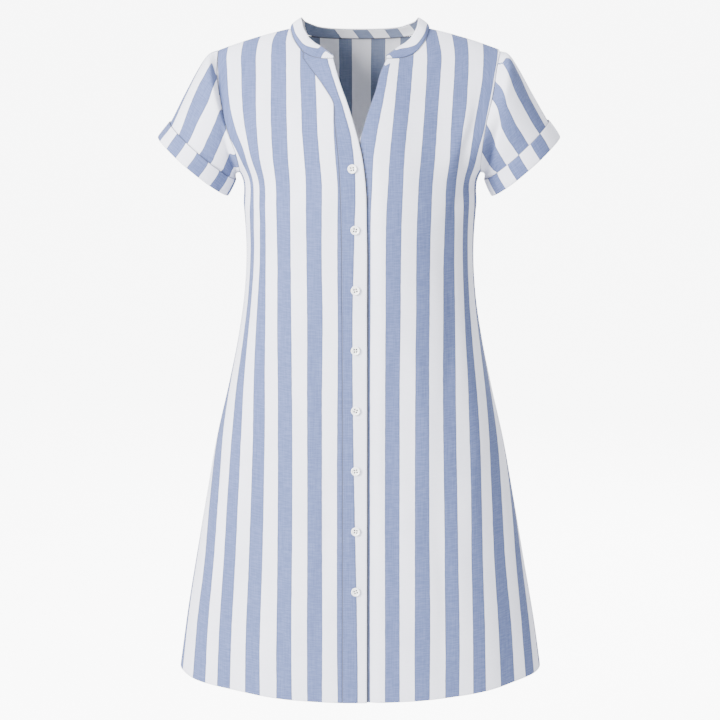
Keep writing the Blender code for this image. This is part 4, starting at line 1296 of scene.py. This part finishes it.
def upright(places, low, high, radius, sides):
    # short threads that stand on end at each place, their ends drawn in
    rise = np.linspace(low, high, threadEnd["rings"])
    flat = np.repeat(np.asarray(places, float)[:, None], len(rise), axis=1)
    centres = np.concatenate([flat, rise[:, None] + 0 * flat[..., :1]], axis=-1)
    along = np.linspace(-threadEnd["drawn"], threadEnd["drawn"], len(rise)) ** threadEnd["power"]
    sizes = radius * np.sqrt(np.clip(1 - along, threadEnd["least"], 1))
    return threads(centres, np.array((0, 1, 0)), np.array((1, 0, 0)), sizes, sides)


def joined(parts):
    # several points-and-faces lists as one
    points, faces, start = [], [], 0
    for somePoints, someFaces in parts:
        points.append(somePoints)
        faces += [[start + k for k in face] for face in someFaces]
        start += len(somePoints)
    return np.concatenate(points), faces


def placketFrame(x, z):
    # place and axes of something sewn on the placket: across, up and out of the cloth
    step = 0.004
    here, across, up = draped(placed("front", np.array([(x, z), (x + step, z), (x, z + step)])))
    across = unit(across - here)
    out = unit(np.cross(across, up - here))
    return here, np.stack([across, np.cross(out, across), out])


resin = {"rough": 0.28, "bumpScale": 180.0, "bumpDepth": 0.02 * millimetre, "coat": 0.35}
buttonShell = plainMaterial("button_resin", (0.93, 0.93, 0.93), **resin)
twist = {"rough": 0.75, "bumpScale": 2400.0, "bumpDepth": 0.05 * millimetre}
# near-black thread: painted shade for the dark inside the holes
holeShadeThread = plainMaterial("button_thread_hole_shade", (0.010, 0.011, 0.015), **twist | {"rough": 0.8})
threadBlue = plainMaterial("blue_thread", (0.045, 0.060, 0.130), **twist)
threadWhite = plainMaterial("white_thread", (0.42, 0.43, 0.48), **twist)
shape, shapeFaces = buttonShape()
# thread fills the bottom of each hole, and a shank of it holds the button off the cloth; its
# near-black colour is painted shade, for the dark of the deep holes
filled = [share * buttons["thick"] for share in buttons["threadRise"]]
threadShape, threadFaces = joined([
    upright(holePlaces(), *filled, buttons["thread"], buttons["threadSides"]),
    upright([(0, 0)], *buttons["shank"], buttons["shankRadius"], buttons["shankSides"]),
])
for number in range(1, buttons["count"] + 1):
    below = number - 1
    z = buttons["first"] - below * buttons["space"] - below**2 * buttons["ease"]
    x = float(atHeight(strip, "fold", z)) - buttons["inset"]
    here, axes = placketFrame(x, z)
    turned = math.radians(turnOf[below])
    spin = np.array([
        (math.cos(turned), math.sin(turned), 0),
        (-math.sin(turned), math.cos(turned), 0),
        (0, 0, 1),
    ])
    origin = here + axes[2] * buttons["lift"]
    button = plainPiece(f"button_{number}_resin", shape @ spin @ axes + origin, shapeFaces)
    button.data.materials.append(buttonShell)
    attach(button, "root")
    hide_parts(f"button_{number}")
    thread = plainPiece(f"button_{number}_thread", threadShape @ spin @ axes + origin, threadFaces)
    thread.data.materials.append(holeShadeThread)
    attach(thread, "root")
print("buttons made")


# sewing

sewing = {
    "stitch": 2.3 * millimetre,
    "gap": 0.7 * millimetre,
    "radius": 0.16 * millimetre,
    "sunk": 0.05 * millimetre,
    "lift": 0.6,  # how far its middle stands up, as a share of its radius
    "sides": 6,
}
# along a stitch, from end to end: how thick it is, and how far it dips into the cloth
stitchForm = columns(
    "at size dip",
    (-1.0, 0.25, 1.0),
    (-0.8, 0.80, 0.3),
    (0.0, 1.00, 0.0),
    (0.8, 0.80, 0.3),
    (1.0, 0.25, 1.0),
)


def stitchRow(line, out):
    # stitches along a line of points: each a short thread, thick in its middle, its ends drawn
    # down into the cloth
    length = lengths(line)
    pitch = sewing["stitch"] + sewing["gap"]
    starts = (np.arange(int(length[-1] / pitch)) + 0.5) * pitch
    at = starts[:, None] + stitchForm["at"] * sewing["stitch"] / 2
    centre, away = readAt(line, length, at), unit(readAt(out, length, at))
    sideways = np.cross(unit(centre[:, -1:] - centre[:, :1]), away)
    dip = sewing["sunk"] + sewing["radius"] * (stitchForm["dip"][:, None] - sewing["lift"])
    sizes = sewing["radius"] * stitchForm["size"]
    return threads(centre - away * dip, sideways, away, sizes, sewing["sides"])


def lineAt(rows, share):
    # a line across a grid's rows at a share of its length, between the nearest two
    at = share * (len(rows) - 1)
    k = min(int(at), len(rows) - 2)
    return (1 - at + k) * rows[k] + (at - k) * rows[k + 1]


def sewn(name, points, out, share, slot, material):
    # a row of stitches at a share of a piece's grid of points, with its ways out of the cloth
    shapePoints, faces = stitchRow(lineAt(points, share), lineAt(out, share))
    piece = plainPiece(name, shapePoints, faces)
    piece.data.materials.append(material)
    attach(piece, "root")


placketGrid = draped(placketPoints).swapaxes(0, 1)
collarGrid = draped(collarPoints)
placketRows = (placketGrid, normalsOf(placketGrid, False, bodyMiddle))
collarRows = (collarGrid, normalsOf(collarGrid, False, neckMiddle))
sewn("placket_seam_stitching", *placketRows, 0.055, "placket_cloth", threadBlue)
sewn("placket_fold_stitching", *placketRows, 0.945, "placket_cloth", threadWhite)
sewn("collar_seam_stitching", *collarRows, 0.11, "collar_cloth", threadBlue)
sewn("collar_edge_stitching", *collarRows, 0.90, "collar_cloth", threadWhite)
print("sewing made")


# camera, light and floor

studio = {
    "camera": (0.0005, -2.70, 0.10),
    "aim": (0.0, 0.0, -0.43),
    "lens": 105.0,
    "sensor": 36.0,
    "clipEnd": 200,
    "floorDrop": -1.36,
    "floorHalf": 90.0,
    "floorGlow": 7.2,
    "world": (0.96, 0.98, 1.0, 1),
    "worldStrength": 1.15,
}
# where each light stands, what it is aimed at, its size, its power and its colour
lights = {
    "key": ((-2.1, -2.3, 0.8), (0, 0, -0.35), 1.5, 410, (1.0, 0.99, 0.98)),
    "fill": ((2.4, -2.4, 0.1), (0, 0, -0.45), 2.2, 14, (0.96, 0.98, 1.0)),
    "back": ((0.9, 2.8, 0.8), (0, 0, -0.4), 1.8, 150, (1.0, 1.0, 1.0)),
    "top": ((0.0, -0.9, 2.2), (0, 0, -0.3), 1.6, 62, (1.0, 1.0, 1.0)),
}


def aimed(name, data, place, target):
    # a camera or a light in its place, turned towards its target
    thing = bpy.data.objects.new(name, data)
    thing.location = place
    way = np.array(target) - np.array(thing.location)
    pitch = math.atan2(way[2], math.hypot(way[0], way[1]))
    thing.rotation_euler = (math.pi / 2 + pitch, 0, -math.atan2(way[0], way[1]))
    bpy.context.collection.objects.link(thing)
    return thing


camera = aimed("camera", bpy.data.cameras.new("camera"), studio["camera"], studio["aim"])
camera.data.lens = studio["lens"]
camera.data.sensor_width = studio["sensor"]
camera.data.clip_end = studio["clipEnd"]
bpy.context.scene.camera = camera

for name, (place, target, size, watts, colour) in lights.items():
    light = aimed(name, bpy.data.lights.new(name, "AREA"), place, target)
    light.data.shape = "DISK"
    light.data.size = size
    light.data.energy = watts
    light.data.color = colour

world = bpy.data.worlds.new("studio")
world.use_nodes = True
tree = world.node_tree
# the sky is as bright to the eye as the floor, so no horizon shows
seen = addNode(tree, "ShaderNodeLightPath").outputs["Is Camera Ray"]
bright = calc(tree, "MULTIPLY_ADD", seen, studio["floorGlow"], studio["worldStrength"])
fill(tree, tree.nodes["Background"], {"Color": studio["world"], "Strength": bright})
bpy.context.scene.world = world

# one wide pale floor and no wall, so the dress can be seen from every side
floorPaint = plainMaterial("studio_floor", (0.80, 0.80, 0.80), rough=0.95, bumpScale=3.0)
tree = floorPaint.node_tree
seen = addNode(tree, "ShaderNodeLightPath").outputs["Is Camera Ray"]
glow = {"Emission Color": (1, 1, 1, 1), "Emission Strength": times(tree, seen, studio["floorGlow"])}
fill(tree, tree.nodes["Principled BSDF"], glow)
far, drop = studio["floorHalf"], studio["floorDrop"]
corners = [(-far, -far, drop), (far, -far, drop), (far, far, drop), (-far, far, drop)]
floor = plainPiece("studio_floor", np.array(corners), [[0, 1, 2, 3]])
floor.data.materials.append(floorPaint)

bpy.context.view_layer.update()
print("scene ready")
